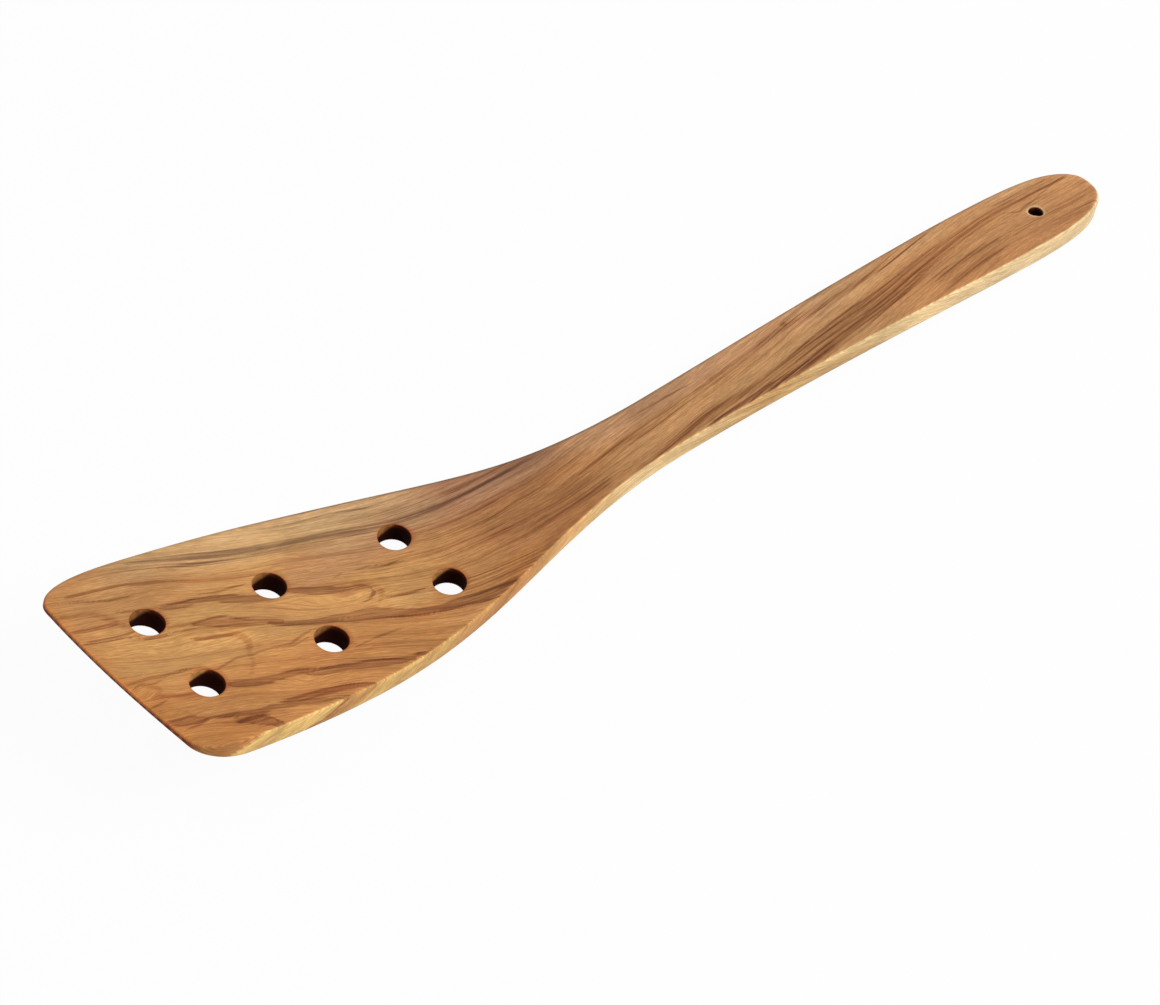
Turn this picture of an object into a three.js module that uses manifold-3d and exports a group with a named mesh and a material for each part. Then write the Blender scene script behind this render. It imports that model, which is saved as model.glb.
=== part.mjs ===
// A slotted turner of olive wood, sawn and sanded from one board.
// Millimetres. +X runs from the front edge to the butt, +Y to the far side, +Z up.
import * as THREE from "three";
import { mergeVertices } from "three/addons/utils/BufferGeometryUtils.js";
import Module from "manifold-3d";

// The top face seen from the side: three arcs, each with its length and its turn.
const bladeLength = 54;
const bladeCurlDegrees = 2.9;
const neckLength = 72.5;
const neckBendDegrees = 19.6;
const handleLength = 171;
const handleDroopDegrees = 8;

// The outline seen from above: half-widths, their places, and how far each curve holds its width.
const widestHalf = 28.6;
const widestBehindFront = 18;
const bladeReach = 77;
const waistReach = 53;
const waistHalf = 8.6;
const waistBehindNeck = 27.5;
const gripReach = 29;
const swellReach = 15;
const swellHalf = 10.7;
const buttLength = 41.5;
const buttSideFullness = 3.5;
const buttTipFullness = 2.6;
const buttTurnDegrees = 85;

// The front edge is skewed, bowed a little, and thinned from below.
const frontSkewDegrees = 10.6;
const frontBow = 1.1;
const farCornerEase = 8.5;
const nearCornerEase = 5.5;
const frontThickness = 1.3;
const soleBevelLength = 22;

// Thickness of the board where it is full, and the rounding of its edges.
const bladeThickness = 5.6;
const neckThickness = 5.3;
const buttThickness = 6.6;
const topEase = 0.7;
const soleEase = 0.9;
const mostEased = 0.4;

// Holes, drilled by hand and square to the top face: a far row and a near row of drain holes.
const drainDiameter = 8;
const farFrontBehind = 15.4;
const farFrontAcross = 9.3;
const farMiddleBehind = 46.5;
const farMiddleAcross = 8.2;
const farBackBehind = 80.8;
const farBackAcross = 8.1;
const nearFrontBehind = 18;
const nearFrontAcross = -11.3;
const nearMiddleBehind = 50.4;
const nearMiddleAcross = -11.5;
const nearBackBehind = 84.2;
const nearBackAcross = -9.5;
const hangingDiameter = 3.6;
const hangingFromButt = 20.6;
const hangingAcross = -0.4;
const drillOvershoot = 5;
const weldDistance = 1e-4;

// How finely the curves are stepped.
const cornerSteps = 8;
const shoulderSteps = 22;
const gripSteps = 9;
const buttSteps = 9;
const acrossSteps = 6;
const easeSteps = 3;
const drainSides = 32;
const hangingSides = 20;

const totalLength = bladeLength + neckLength + handleLength;
const waistBehindFront = bladeLength + neckLength + waistBehindNeck;
const swellBehindFront = totalLength - buttLength;
const skewSlope = Math.tan(THREE.MathUtils.degToRad(frontSkewDegrees));

// The place and heading of the top face at a distance behind the front edge.
const stretches = [
  { length: bladeLength, turn: bladeCurlDegrees },
  { length: neckLength, turn: neckBendDegrees },
  { length: handleLength, turn: -handleDroopDegrees },
];

function topLine(distance) {
  const place = { x: 0, z: 0, heading: 0 };
  let left = distance;
  stretches.forEach(({ length, turn }, i) => {
    const last = i === stretches.length - 1;
    const run = last ? left : Math.min(left, length);
    const bend = THREE.MathUtils.degToRad(turn) / length;
    const heading = place.heading + bend * run;
    place.x += (Math.sin(heading) - Math.sin(place.heading)) / bend;
    place.z += (Math.cos(place.heading) - Math.cos(heading)) / bend;
    place.heading = heading;
    left -= run;
  });
  return place;
}

// Carries a point of the flat board (behind the front, off the axis, over the top face) onto the bent one.
function bent(behind, across, over) {
  const { x, z, heading } = topLine(behind);
  return [x - over * Math.sin(heading), across, z + over * Math.cos(heading)];
}

// Full thickness of the board, even along the blade and tapering on either side of the neck's end.
function boardThickness(behind) {
  const neckEnd = bladeLength + neckLength;
  const inNeck = THREE.MathUtils.clamp((behind - bladeLength) / neckLength, 0, 1);
  const inHandle = THREE.MathUtils.clamp((behind - neckEnd) / handleLength, 0, 1);
  const ahead = THREE.MathUtils.lerp(bladeThickness, neckThickness, inNeck);
  return ahead + inHandle * (buttThickness - neckThickness);
}

// Thickness with the sole's bevel, which runs out in a curve behind the front edge.
function thicknessAt(behind) {
  const short = THREE.MathUtils.clamp(1 - behind / soleBevelLength, 0, 1);
  return THREE.MathUtils.lerp(boardThickness(behind), frontThickness, short * short);
}

// A row joins a point on the near outline to one on the far outline. Its bow is that of the front edge.
function row(near, far, bow = 0, endEase = 0) {
  const middle = (near.x + far.x) / 2 - bow;
  return { near, far, bow, endEase, thickness: thicknessAt(middle) };
}

function evenRow(point, endEase) {
  return row(new THREE.Vector2(point.x, -point.y), point, 0, endEase);
}

function pointsOf(curve, steps) {
  return curve.getPoints(steps).slice(1);
}

// The rounded corners: from the front edge to the widest place on each side.
function cornerRows() {
  const frontAt = (across) => frontBow - skewSlope * across;
  const cornerCurve = (side, ease) => {
    const start = side * (widestHalf - ease);
    const corner = side * widestHalf;
    return new THREE.QuadraticBezierCurve(
      new THREE.Vector2(frontAt(start), start),
      new THREE.Vector2(frontAt(corner), corner),
      new THREE.Vector2(widestBehindFront, corner),
    );
  };
  const far = cornerCurve(1, farCornerEase).getPoints(cornerSteps);
  const near = cornerCurve(-1, nearCornerEase).getPoints(cornerSteps);
  return far.map((point, i) => row(near[i], point, frontBow * (1 - i / cornerSteps)));
}

// The shoulders sweep in to the waist, and the grip swells gently behind it.
function shoulderRows() {
  const sweep = new THREE.CubicBezierCurve(
    new THREE.Vector2(widestBehindFront, widestHalf),
    new THREE.Vector2(widestBehindFront + bladeReach, widestHalf),
    new THREE.Vector2(waistBehindFront - waistReach, waistHalf),
    new THREE.Vector2(waistBehindFront, waistHalf),
  );
  return pointsOf(sweep, shoulderSteps).map((point) => evenRow(point, 0));
}

function gripRows() {
  const swell = new THREE.CubicBezierCurve(
    new THREE.Vector2(waistBehindFront, waistHalf),
    new THREE.Vector2(waistBehindFront + gripReach, waistHalf),
    new THREE.Vector2(swellBehindFront - swellReach, swellHalf),
    new THREE.Vector2(swellBehindFront, swellHalf),
  );
  return pointsOf(swell, gripSteps).map((point) => evenRow(point, 0));
}

// The butt is half a superellipse, fuller on its sides than at its tip, and eased like the edges.
function buttRows() {
  const easedEnd = totalLength - topEase;
  const rows = [];
  for (let i = 1; i <= buttSteps; i++) {
    const angle = THREE.MathUtils.degToRad((i / buttSteps) * buttTurnDegrees);
    const along = swellBehindFront + buttLength * Math.sin(angle) ** (2 / buttSideFullness);
    const half = swellHalf * Math.cos(angle) ** (2 / buttTipFullness);
    const intoEnd = THREE.MathUtils.clamp((along - easedEnd) / topEase, 0, 1);
    rows.push(evenRow(new THREE.Vector2(along, half), 1 - Math.sqrt(1 - intoEnd ** 2)));
  }
  return rows;
}

// The upper or the lower half of a row's section, from the near side to the far side.
function chain({ near, far, bow, endEase, thickness }, upper) {
  const width = near.distanceTo(far);
  const ease = Math.min(upper ? topEase : soleEase, mostEased * thickness, mostEased * width);
  const rounded = [];
  for (let i = 0; i <= easeSteps; i++) {
    const angle = (i / easeSteps) * (Math.PI / 2);
    rounded.push([ease * (1 - Math.cos(angle)), ease * (1 - Math.sin(angle))]);
  }
  const flat = [];
  for (let i = 1; i < acrossSteps; i++) {
    flat.push([ease + (i / acrossSteps) * (width - 2 * ease), 0]);
  }
  const farEnd = rounded.map(([inset, drop]) => [width - inset, drop]).reverse();
  return [...rounded, ...flat, ...farEnd].map(([offset, drop]) => {
    const share = offset / width;
    const bowed = bow * (1 - (2 * share - 1) ** 2);
    const along = THREE.MathUtils.lerp(near.x, far.x, share) - bowed;
    const across = THREE.MathUtils.lerp(near.y, far.y, share);
    const inward = drop + endEase * ease;
    return bent(along, across, upper ? -inward : inward - thickness);
  });
}

// The board as one closed skin: top, sole, both sides, front edge and butt end.
function boardGeometry() {
  const rows = [...cornerRows(), ...shoulderRows(), ...gripRows(), ...buttRows()];
  const positions = [];
  const faces = [];
  const chains = rows.map((each) => [chain(each, true), chain(each, false)]);
  chains.forEach((pair) => pair.forEach((half) => positions.push(...half.flat())));
  const count = chains[0][0].length;
  const top = (r, k) => r * 2 * count + k;
  const sole = (r, k) => top(r, k) + count;
  const quad = (a, b, c, d) => faces.push(a, b, c, a, c, d);
  const end = rows.length - 1;
  const edge = count - 1;
  for (let r = 0; r < end; r++) {
    for (let k = 0; k < edge; k++) {
      quad(top(r, k), top(r + 1, k), top(r + 1, k + 1), top(r, k + 1));
      quad(sole(r, k), sole(r, k + 1), sole(r + 1, k + 1), sole(r + 1, k));
    }
    quad(sole(r, 0), sole(r + 1, 0), top(r + 1, 0), top(r, 0));
    quad(top(r, edge), top(r + 1, edge), sole(r + 1, edge), sole(r, edge));
  }
  for (let k = 0; k < edge; k++) {
    quad(top(0, k), top(0, k + 1), sole(0, k + 1), sole(0, k));
    quad(sole(end, k), sole(end, k + 1), top(end, k + 1), top(end, k));
  }
  const geometry = new THREE.BufferGeometry();
  geometry.setAttribute("position", new THREE.Float32BufferAttribute(positions, 3));
  geometry.setIndex(faces);
  return geometry;
}

// A drill standing square to the top face.
function drillGeometry(behind, across, diameter, sides) {
  const { heading } = topLine(behind);
  const length = boardThickness(behind) + 2 * drillOvershoot;
  const drill = new THREE.CylinderGeometry(diameter / 2, diameter / 2, length, sides);
  drill.rotateX(Math.PI / 2).rotateY(-heading);
  drill.translate(...bent(behind, across, -boardThickness(behind) / 2));
  return drill;
}

const wasm = await Module();
wasm.setup();

function solidOf(geometry) {
  geometry.deleteAttribute("normal");
  geometry.deleteAttribute("uv");
  const merged = mergeVertices(geometry, weldDistance);
  const mesh = new wasm.Mesh({
    numProp: 3,
    vertProperties: merged.attributes.position.array,
    triVerts: new Uint32Array(merged.index.array),
  });
  return new wasm.Manifold(mesh);
}

function geometryOf(solid) {
  const { vertProperties, triVerts } = solid.getMesh();
  const geometry = new THREE.BufferGeometry();
  geometry.setAttribute("position", new THREE.BufferAttribute(vertProperties, 3));
  geometry.setIndex(new THREE.BufferAttribute(triVerts, 1));
  geometry.computeVertexNormals();
  return geometry;
}

function drilledBoard() {
  const drainPlaces = [
    [farFrontBehind, farFrontAcross],
    [farMiddleBehind, farMiddleAcross],
    [farBackBehind, farBackAcross],
    [nearFrontBehind, nearFrontAcross],
    [nearMiddleBehind, nearMiddleAcross],
    [nearBackBehind, nearBackAcross],
  ];
  const drills = drainPlaces.map(([behind, across]) =>
    drillGeometry(behind, across, drainDiameter, drainSides),
  );
  const hangingAt = totalLength - hangingFromButt;
  drills.push(drillGeometry(hangingAt, hangingAcross, hangingDiameter, hangingSides));
  const board = solidOf(boardGeometry());
  return geometryOf(drills.reduce((left, drill) => left.subtract(solidOf(drill)), board));
}

// It lies on the neck's bend and the butt: the line under both, as an angle to the front's heading.
function restPitch(geometry) {
  const { position } = geometry.attributes;
  const buttFrom = topLine(swellBehindFront).x;
  const neckTo = topLine(waistBehindFront).x;
  const points = Array.from({ length: position.count }, (_, i) => [position.getX(i), position.getZ(i)]);
  const butt = points.filter(([x]) => x > buttFrom);
  const neck = points.filter(([x]) => x < neckTo);
  const steepest = ([x, z]) => Math.max(...neck.map(([nx, nz]) => (z - nz) / (x - nx)));
  return Math.atan(Math.min(...butt.map(steepest)));
}

const oliveWood = new THREE.MeshStandardMaterial({ color: 0xbe8c5a, roughness: 0.55, metalness: 0 });
const spatula = new THREE.Mesh(drilledBoard(), oliveWood);
spatula.name = "spatula";
spatula.rotation.y = restPitch(spatula.geometry);

// The frame's origin lies under the middle of the resting piece.
const box = new THREE.Box3().setFromObject(spatula, true);
const middle = box.getCenter(new THREE.Vector3());
spatula.position.set(-middle.x, -middle.y, -box.min.z);

const turner = new THREE.Group();
turner.name = "turner";
turner.add(spatula);

export default turner;
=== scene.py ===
# %% [markdown]
# # A slotted turner of olive wood
# The real object is one piece: a board of olive wood that is sawn to a paddle with a bend behind its blade,
# drilled seven times, sanded and oiled.
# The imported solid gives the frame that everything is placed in.
# It is loaded first, and its box is kept, because the finished mesh has to fill the same box.

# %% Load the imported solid
import bpy
import numpy as np
from mathutils import Matrix, Vector


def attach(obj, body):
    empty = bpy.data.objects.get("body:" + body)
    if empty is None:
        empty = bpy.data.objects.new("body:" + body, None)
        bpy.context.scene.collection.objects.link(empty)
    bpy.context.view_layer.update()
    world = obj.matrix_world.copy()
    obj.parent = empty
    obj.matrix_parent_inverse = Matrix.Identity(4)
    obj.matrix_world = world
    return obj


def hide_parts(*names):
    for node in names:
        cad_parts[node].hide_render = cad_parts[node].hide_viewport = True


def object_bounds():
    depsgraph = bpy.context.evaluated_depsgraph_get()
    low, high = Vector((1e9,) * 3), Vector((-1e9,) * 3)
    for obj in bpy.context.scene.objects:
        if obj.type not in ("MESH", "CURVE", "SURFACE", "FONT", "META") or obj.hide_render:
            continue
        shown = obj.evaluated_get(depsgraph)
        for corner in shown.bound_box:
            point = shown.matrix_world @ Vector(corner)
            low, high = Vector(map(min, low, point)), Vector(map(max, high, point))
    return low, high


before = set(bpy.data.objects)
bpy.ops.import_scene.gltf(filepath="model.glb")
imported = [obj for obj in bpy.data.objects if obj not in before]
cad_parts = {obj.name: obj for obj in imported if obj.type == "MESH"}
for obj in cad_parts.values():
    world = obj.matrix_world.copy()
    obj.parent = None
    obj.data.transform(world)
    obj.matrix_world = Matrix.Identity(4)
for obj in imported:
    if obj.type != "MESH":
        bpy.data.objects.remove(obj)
cad_box = [list(corner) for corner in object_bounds()]
print("solid box, metres:", np.round(cad_box, 4).tolist())

# %% [markdown]
# ## The board, laid flat
# A bent board is easiest to draw flat and bend afterwards.
# Every point gets three board coordinates in millimetres: how far behind the front edge it lies,
# how far across (towards the far side), and how far over the top face.
# The top face, seen from the side, is three arcs: the blade, the neck and the handle.
# Their lengths and turns are the only sizes that the bending needs.

# %% Bending the flat board
STRETCHES = ((54.0, 2.9), (72.5, 19.6), (171.0, -8.0))
BLADE_LENGTH, NECK_LENGTH, HANDLE_LENGTH = (length for length, turn in STRETCHES)
TOTAL_LENGTH = BLADE_LENGTH + NECK_LENGTH + HANDLE_LENGTH
REST_PITCH = np.radians(18.3)
MILLIMETRES = 1000


def top_line(behind):
    """Place and heading of the top face: each arc adds the chord of the turn made on it."""
    x, z, heading = (np.zeros_like(behind) for each in range(3))
    left = behind
    for index, (length, turn) in enumerate(STRETCHES):
        last = index == len(STRETCHES) - 1
        run = left if last else np.minimum(left, length)
        bend = np.radians(turn) / length
        ahead = heading + bend * run
        x = x + (np.sin(ahead) - np.sin(heading)) / bend
        z = z + (np.cos(heading) - np.cos(ahead)) / bend
        heading, left = ahead, left - run
    return x, z, heading


def bend_board(board):
    """Bends board points onto the arcs, then tips the whole piece onto its neck and butt."""
    behind, across, over = board.T
    x, z, heading = top_line(behind)
    x, z = x - over * np.sin(heading), z + over * np.cos(heading)
    turned_x = np.cos(REST_PITCH) * x + np.sin(REST_PITCH) * z
    turned_z = np.cos(REST_PITCH) * z - np.sin(REST_PITCH) * x
    return np.stack([turned_x, across, turned_z], axis=1)


print("length along the top face:", TOTAL_LENGTH, "mm")

# %% [markdown]
# ## The outline
# Seen from above, the blade is widest just behind its skewed front edge.
# Its shoulders sweep in to a waist, the grip swells, and the butt is half a superellipse.
# Behind the widest place both sides are alike, so one half-width along the board describes them.
# In front of it each corner is a quadratic curve of its own, because the edge is skewed.

# %% Half-width behind the widest place
WIDEST_HALF, WIDEST_AT = 28.6, 18.0
WAIST_HALF, WAIST_AT = 8.6, BLADE_LENGTH + NECK_LENGTH + 27.5
SWELL_HALF, BUTT_LENGTH = 10.7, 41.5
SWELL_AT = TOTAL_LENGTH - BUTT_LENGTH
SIDE_FULLNESS, TIP_FULLNESS = 3.5, 2.6
SHOULDER_PULLS, GRIP_PULLS = (77, 53), (29, 15)
curve_shares = np.linspace(0, 1, 400)


def bezier(knots, share):
    """A point on the curve of two, three or four knots, by repeated straight mixing."""
    points = [np.multiply.outer(np.ones_like(share), knot) for knot in np.asarray(knots, float)]
    while len(points) > 1:
        points = [a + share[:, None] * (b - a) for a, b in zip(points, points[1:])]
    return points[0]


def sweep(start, stop, pulls):
    """A curve from one half-width to the next that leaves and arrives straight along the board.
    The longer the pull at an end, the longer it stays straight there."""
    leaving, arriving = (start[0] + pulls[0], start[1]), (stop[0] - pulls[1], stop[1])
    return bezier([start, leaving, arriving, stop], curve_shares)


def butt_outline(turn):
    """Half a superellipse, fuller on its sides than at its tip."""
    behind = SWELL_AT + BUTT_LENGTH * np.sin(turn) ** (2 / SIDE_FULLNESS)
    return np.stack([behind, SWELL_HALF * np.cos(turn) ** (2 / TIP_FULLNESS)], axis=-1)


widest, waist, swell = (WIDEST_AT, WIDEST_HALF), (WAIST_AT, WAIST_HALF), (SWELL_AT, SWELL_HALF)
shoulder = sweep(widest, waist, SHOULDER_PULLS)
grip = sweep(waist, swell, GRIP_PULLS)
butt = butt_outline(curve_shares * np.pi / 2)
side_curve = np.concatenate([shoulder, grip[1:], butt[1:]])
print("half-width at the blade, waist and swell:", WIDEST_HALF, WAIST_HALF, SWELL_HALF)

# %% The skewed front edge and its two corners
FRONT_SLOPE, FRONT_BOW = np.tan(np.radians(10.6)), 1.1
NEAR_EASE, FAR_EASE = 5.5, 8.5
CORNER_SPLIT = 0.3


def front_line(across):
    """The front edge without its bow: straight, and further back on the near side."""
    return FRONT_BOW - FRONT_SLOPE * across


def corner(side, ease, shares):
    """From the front edge round to the widest place, with the sharp corner as the middle knot."""
    start, sharp = side * (WIDEST_HALF - ease), side * WIDEST_HALF
    return bezier([(front_line(start), start), (front_line(sharp), sharp), (WIDEST_AT, sharp)], shares)


near_start, far_start = -(WIDEST_HALF - NEAR_EASE), WIDEST_HALF - FAR_EASE
print("straight part of the front edge:", round(far_start - near_start, 1), "mm across")

# %% [markdown]
# ## Rows and columns
# The top face is a grid: rows run across the board, columns run along it.
# Most markings of the wood run along the board, so the columns lie closer together than the rows.
# Rows lie close together on the blade and around the hanging hole, and wider on the handle.
# The first row follows the front edge round into both corners and the last one follows the butt,
# so no row shrinks to a point. Their bend fades out over the next rows.

# %% Where the rows and columns lie
COLUMNS = 160
CORNER_ROWS, END_ROWS, BEND_FADE = 20, 22, 1.5
END_TURN = np.radians(60)
END_SPLIT = butt_outline(END_TURN)[0]
ROW_SPACING = (
    (WIDEST_AT, 96, 0.9),
    (96, 130, 1.6),
    (130, 193, 2.1),
    (193, 200, 1.0),
    (200, 269, 2.0),
    (269, 285, 0.45),
    (285, 291, 0.6),
    (291, END_SPLIT, 0.3),
)

stretches = [
    np.linspace(start, stop, round((stop - start) / step), endpoint=False)
    for start, stop, step in ROW_SPACING
]
stations = np.concatenate([*stretches, [END_SPLIT]])
halves = np.interp(stations, *side_curve.T)
corner_shares = np.linspace(CORNER_SPLIT, 1, CORNER_ROWS, endpoint=False)
near_line, far_line = (np.stack([stations, side * halves], axis=1) for side in (-1, 1))
near_side = np.concatenate([corner(-1, NEAR_EASE, corner_shares), near_line])
far_side = np.concatenate([corner(1, FAR_EASE, corner_shares), far_line])
ROWS = len(near_side) - 1
print("rows:", ROWS, "columns:", COLUMNS)

# %% The first and the last row
CORNER_POINTS, FRONT_POINTS = 40, 120


def along_chord(curve, count):
    """Points on a curve at even steps across the board, from the near side to the far side."""
    across = np.linspace(curve[0, 1], curve[-1, 1], count)
    return np.stack([np.interp(across, curve[:, 1], curve[:, 0]), across], axis=1)


to_split = np.linspace(0, CORNER_SPLIT, CORNER_POINTS)
straight = np.linspace(near_start, far_start, FRONT_POINTS)
bow = FRONT_BOW * (1 - (2 * (straight - near_start) / (far_start - near_start) - 1) ** 2)
front_curve = np.concatenate(
    [
        corner(-1, NEAR_EASE, to_split)[:0:-1],
        np.stack([front_line(straight) - bow, straight], axis=1),
        corner(1, FAR_EASE, to_split)[1:],
    ]
)
tip = butt[butt[:, 0] >= END_SPLIT]
end_curve = np.concatenate([near_side[-1:], tip * (1, -1), tip[::-1], far_side[-1:]])
first_row = along_chord(front_curve, COLUMNS + 1)
last_row = along_chord(end_curve, COLUMNS + 1)
print("front reaches", round(first_row[:, 0].min(), 2), "and butt", round(last_row[:, 0].max(), 2), "mm")

# %% [markdown]
# ## The rounded rim
# All edges of the board are eased by sanding, more below than above.
# So the flat faces stop a little inside the outline, and a band with a rounded profile joins them.
# The outline is walked once around, with the outward direction at every step.

# %% The outline as one loop, and the thickness
TOP_EASE, SOLE_EASE, MOST_EASED = 0.7, 0.9, 0.25
TIP_EASE, TIP_FROM = 1.4, 283.0
BLADE_THICK, NECK_THICK, BUTT_THICK = 5.6, 5.3, 6.6
FRONT_THICK, BEVEL_LENGTH = 1.3, 22.0

outline = np.concatenate([near_side, last_row[1:-1], far_side[::-1], first_row[-2:0:-1]])


def unit(vectors):
    """The same directions, each one long."""
    return vectors / np.linalg.norm(vectors, axis=-1, keepdims=True)


ahead = unit(np.roll(outline, -1, axis=0) - outline)
tangent = unit(ahead + np.roll(ahead, 1, axis=0))
outward = np.stack([tangent[:, 1], -tangent[:, 0]], axis=1)


def thickness(plan):
    """Full board thickness, thinned near the front by a bevel that runs out as a square."""
    behind, across = plan[..., 0], plan[..., 1]
    front = front_line(across) - FRONT_BOW
    behind = np.where(behind < WIDEST_AT, WIDEST_AT * (behind - front) / (WIDEST_AT - front), behind)
    ends = (BLADE_LENGTH, BLADE_LENGTH + NECK_LENGTH, TOTAL_LENGTH)
    full = np.interp(behind, ends, (BLADE_THICK, NECK_THICK, BUTT_THICK))
    short = np.clip(1 - behind / BEVEL_LENGTH, 0, 1) ** 2
    return full + short * (FRONT_THICK - full)


def soft_step(value, start, stop):
    """0 before start, 1 after stop, and a smooth cubic in between."""
    share = np.clip((value - start) / (stop - start), 0, 1)
    return share * share * (3 - 2 * share)


def soft_drop(value, start, stop):
    """1 before start, 0 after stop: the same step, downwards."""
    return soft_step(-value, -stop, -start)


rim_thick = thickness(outline)
top_ease = TOP_EASE + (TIP_EASE - TOP_EASE) * soft_step(outline[:, 0], TIP_FROM, TOTAL_LENGTH)
top_ease = np.minimum(top_ease, MOST_EASED * rim_thick)
sole_ease = np.minimum(SOLE_EASE, MOST_EASED * rim_thick)
print("rim thickness from", round(rim_thick.min(), 2), "to", round(rim_thick.max(), 2), "mm")

# %% The two flat faces as grids


def face_grid(loop):
    """Straight rows between both sides, plus the first and last row's bend, faded over the rows."""
    ends = np.cumsum([ROWS + 1, COLUMNS - 1, ROWS + 1])
    near, last, far, first = np.split(loop, ends)
    far, first = far[::-1], first[::-1]
    first = np.concatenate([near[:1], first, far[:1]])
    last = np.concatenate([near[-1:], last, far[-1:]])
    shares = np.linspace(0, 1, COLUMNS + 1)[None, :, None]

    def chord(start, stop):
        """Straight rows from one side to the other."""
        return start * (1 - shares) + stop * shares

    row = np.arange(ROWS + 1)
    front_fade = np.clip(1 - row / CORNER_ROWS, 0, 1)[:, None, None] ** BEND_FADE
    end_fade = np.clip(1 - (ROWS - row) / END_ROWS, 0, 1)[:, None, None] ** BEND_FADE
    grid = chord(near[:, None], far[:, None])
    grid += front_fade * (first - chord(first[0], first[-1]))
    grid += end_fade * (last - chord(last[0], last[-1]))
    return grid


top_plan = face_grid(outline - outward * top_ease[:, None])
sole_plan = face_grid(outline - outward * sole_ease[:, None])
print("top grid:", top_plan.shape, "sole grid:", sole_plan.shape)

# %% [markdown]
# ## Seven holes in the grid
# A boolean would cut the grid into slivers. Here a square window of grid cells is left out
# for each hole instead, and its border is pulled onto a circle.
# The cells around the window share out the pull, so that the mesh stays made of plain four-sided faces.
# The drain holes are round. The little hanging hole is a bit out of round, as a hand drill leaves it.

# %% Pulling the windows round
DRAIN_RADIUS, HANGING_RADIUS = 3.95, 1.75
DRAIN_RIM, HANGING_RIM = 0.2, 0.3
HANGING_UNEVEN = 0.05
LONG_SHARE, LONG_TURN, POINT_TURN = 1.8, 0.68, 1.38
HANGING_AT = (TOTAL_LENGTH - 20.8, -0.5)
DRAINS = {
    "far_front": (15.4, 9.3),
    "far_middle": (46.5, 8.2),
    "far_back": (80.8, 8.1),
    "near_front": (18.0, -11.3),
    "near_middle": (50.4, -11.5),
    "near_back": (84.2, -9.5),
}
holes = [(np.array(place), DRAIN_RADIUS, DRAIN_RIM, 0.0) for place in DRAINS.values()]
holes.append((np.array(HANGING_AT), HANGING_RADIUS, HANGING_RIM, HANGING_UNEVEN))
RING_ROWS, RING_COLUMNS, SPARE_CELLS = 5, 10, 0.6
NOT_ZERO = 1e-12
open_cells = np.ones((ROWS, COLUMNS), bool)


def window(centre, reach):
    """The grid point nearest to a hole, and how many cells each way cover its circle."""
    apart = np.linalg.norm(top_plan - centre, axis=2)
    row, column = np.unravel_index(np.argmin(apart), apart.shape)
    beside = top_plan[[row + 1, row], [column, column + 1]]
    steps = np.linalg.norm(beside - top_plan[row, column], axis=1)
    return row, column, *(int(np.ceil(reach / step + SPARE_CELLS)) for step in steps)


def circle_direction(a, b):
    """The square's border, wound evenly onto the circle: an eighth of a turn per half side."""
    wide = np.abs(a) >= np.abs(b)
    ratio = np.where(wide, b / np.where(wide, a, 1), a / np.where(wide, 1, b))
    quarter = np.where(wide, ratio * np.pi / 4, np.pi / 2 - ratio * np.pi / 4)
    angle = quarter + np.pi * (np.where(wide, a, b) < 0)
    return angle, np.stack([np.cos(angle), np.sin(angle)], axis=-1)


def out_of_round(angle, uneven):
    """How much a hole's radius grows: longer aslant, with a blunt point towards the near side."""
    return 1 + uneven * (LONG_SHARE * np.cos(2 * (angle + LONG_TURN)) + np.cos(3 * (angle + POINT_TURN)))


def pull_round(plan, place, radius, uneven):
    """Moves a window's border onto the circle. The ring of cells round it follows its nearest
    border point, fully at the border and not at all at the ring's rim."""
    centre, (row, column, rows, columns) = place
    i = np.arange(-rows - RING_ROWS, rows + RING_ROWS + 1)
    j = np.arange(-columns - RING_COLUMNS, columns + RING_COLUMNS + 1)
    inside = np.ix_(row + i, column + j)
    a, b = np.meshgrid(i / rows, j / columns, indexing="ij")
    cells_out = np.maximum((np.abs(a) - 1) * rows / RING_ROWS, (np.abs(b) - 1) * columns / RING_COLUMNS)
    keep = np.clip(cells_out, 0, 1)[..., None]
    angle, direction = circle_direction(a + NOT_ZERO, b)
    pull = centre + radius * out_of_round(angle, uneven)[..., None] * direction - plan[inside]
    border = np.ix_(np.clip(i, -rows, rows) - i[0], np.clip(j, -columns, columns) - j[0])
    plan[inside] += (1 - keep) * pull[border]


windows = [window(centre, radius + rim) for centre, radius, rim, uneven in holes]
for (centre, radius, rim, uneven), place in zip(holes, windows):
    row, column, rows, columns = place
    pull_round(top_plan, (centre, place), radius + rim, uneven)
    pull_round(sole_plan, (centre, place), radius + rim, uneven)
    open_cells[row - rows : row + rows, column - columns : column + columns] = False
print("window cells left out:", int((~open_cells).sum()))

# %% [markdown]
# ## One closed skin
# The two faces, the rim band and the seven hole bands share their border points, so nothing has to be welded.
# A band is a profile carried along a loop: a quarter round down from the top face,
# a straight wall, and a quarter round in to the sole.

# %% Faces of the two grids
point_id = np.arange((ROWS + 1) * (COLUMNS + 1)).reshape(ROWS + 1, COLUMNS + 1)
SOLE_START = point_id.size


def with_height(plan, over):
    """Board points: the place in the plan, and the height over the top face."""
    return np.concatenate([plan.reshape(-1, 2), np.reshape(over, (-1, 1))], axis=1)


board_parts = [
    with_height(top_plan, np.zeros(SOLE_START)),
    with_height(sole_plan, -thickness(sole_plan)),
]
cell = np.stack([point_id[:-1, :-1], point_id[1:, :-1], point_id[1:, 1:], point_id[:-1, 1:]], axis=-1)
cell = cell[open_cells]
face_parts = [cell, cell[:, ::-1] + SOLE_START]
wall_parts = [np.zeros(2 * len(cell), bool)]
print("faces on top and sole:", 2 * len(cell))

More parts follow.
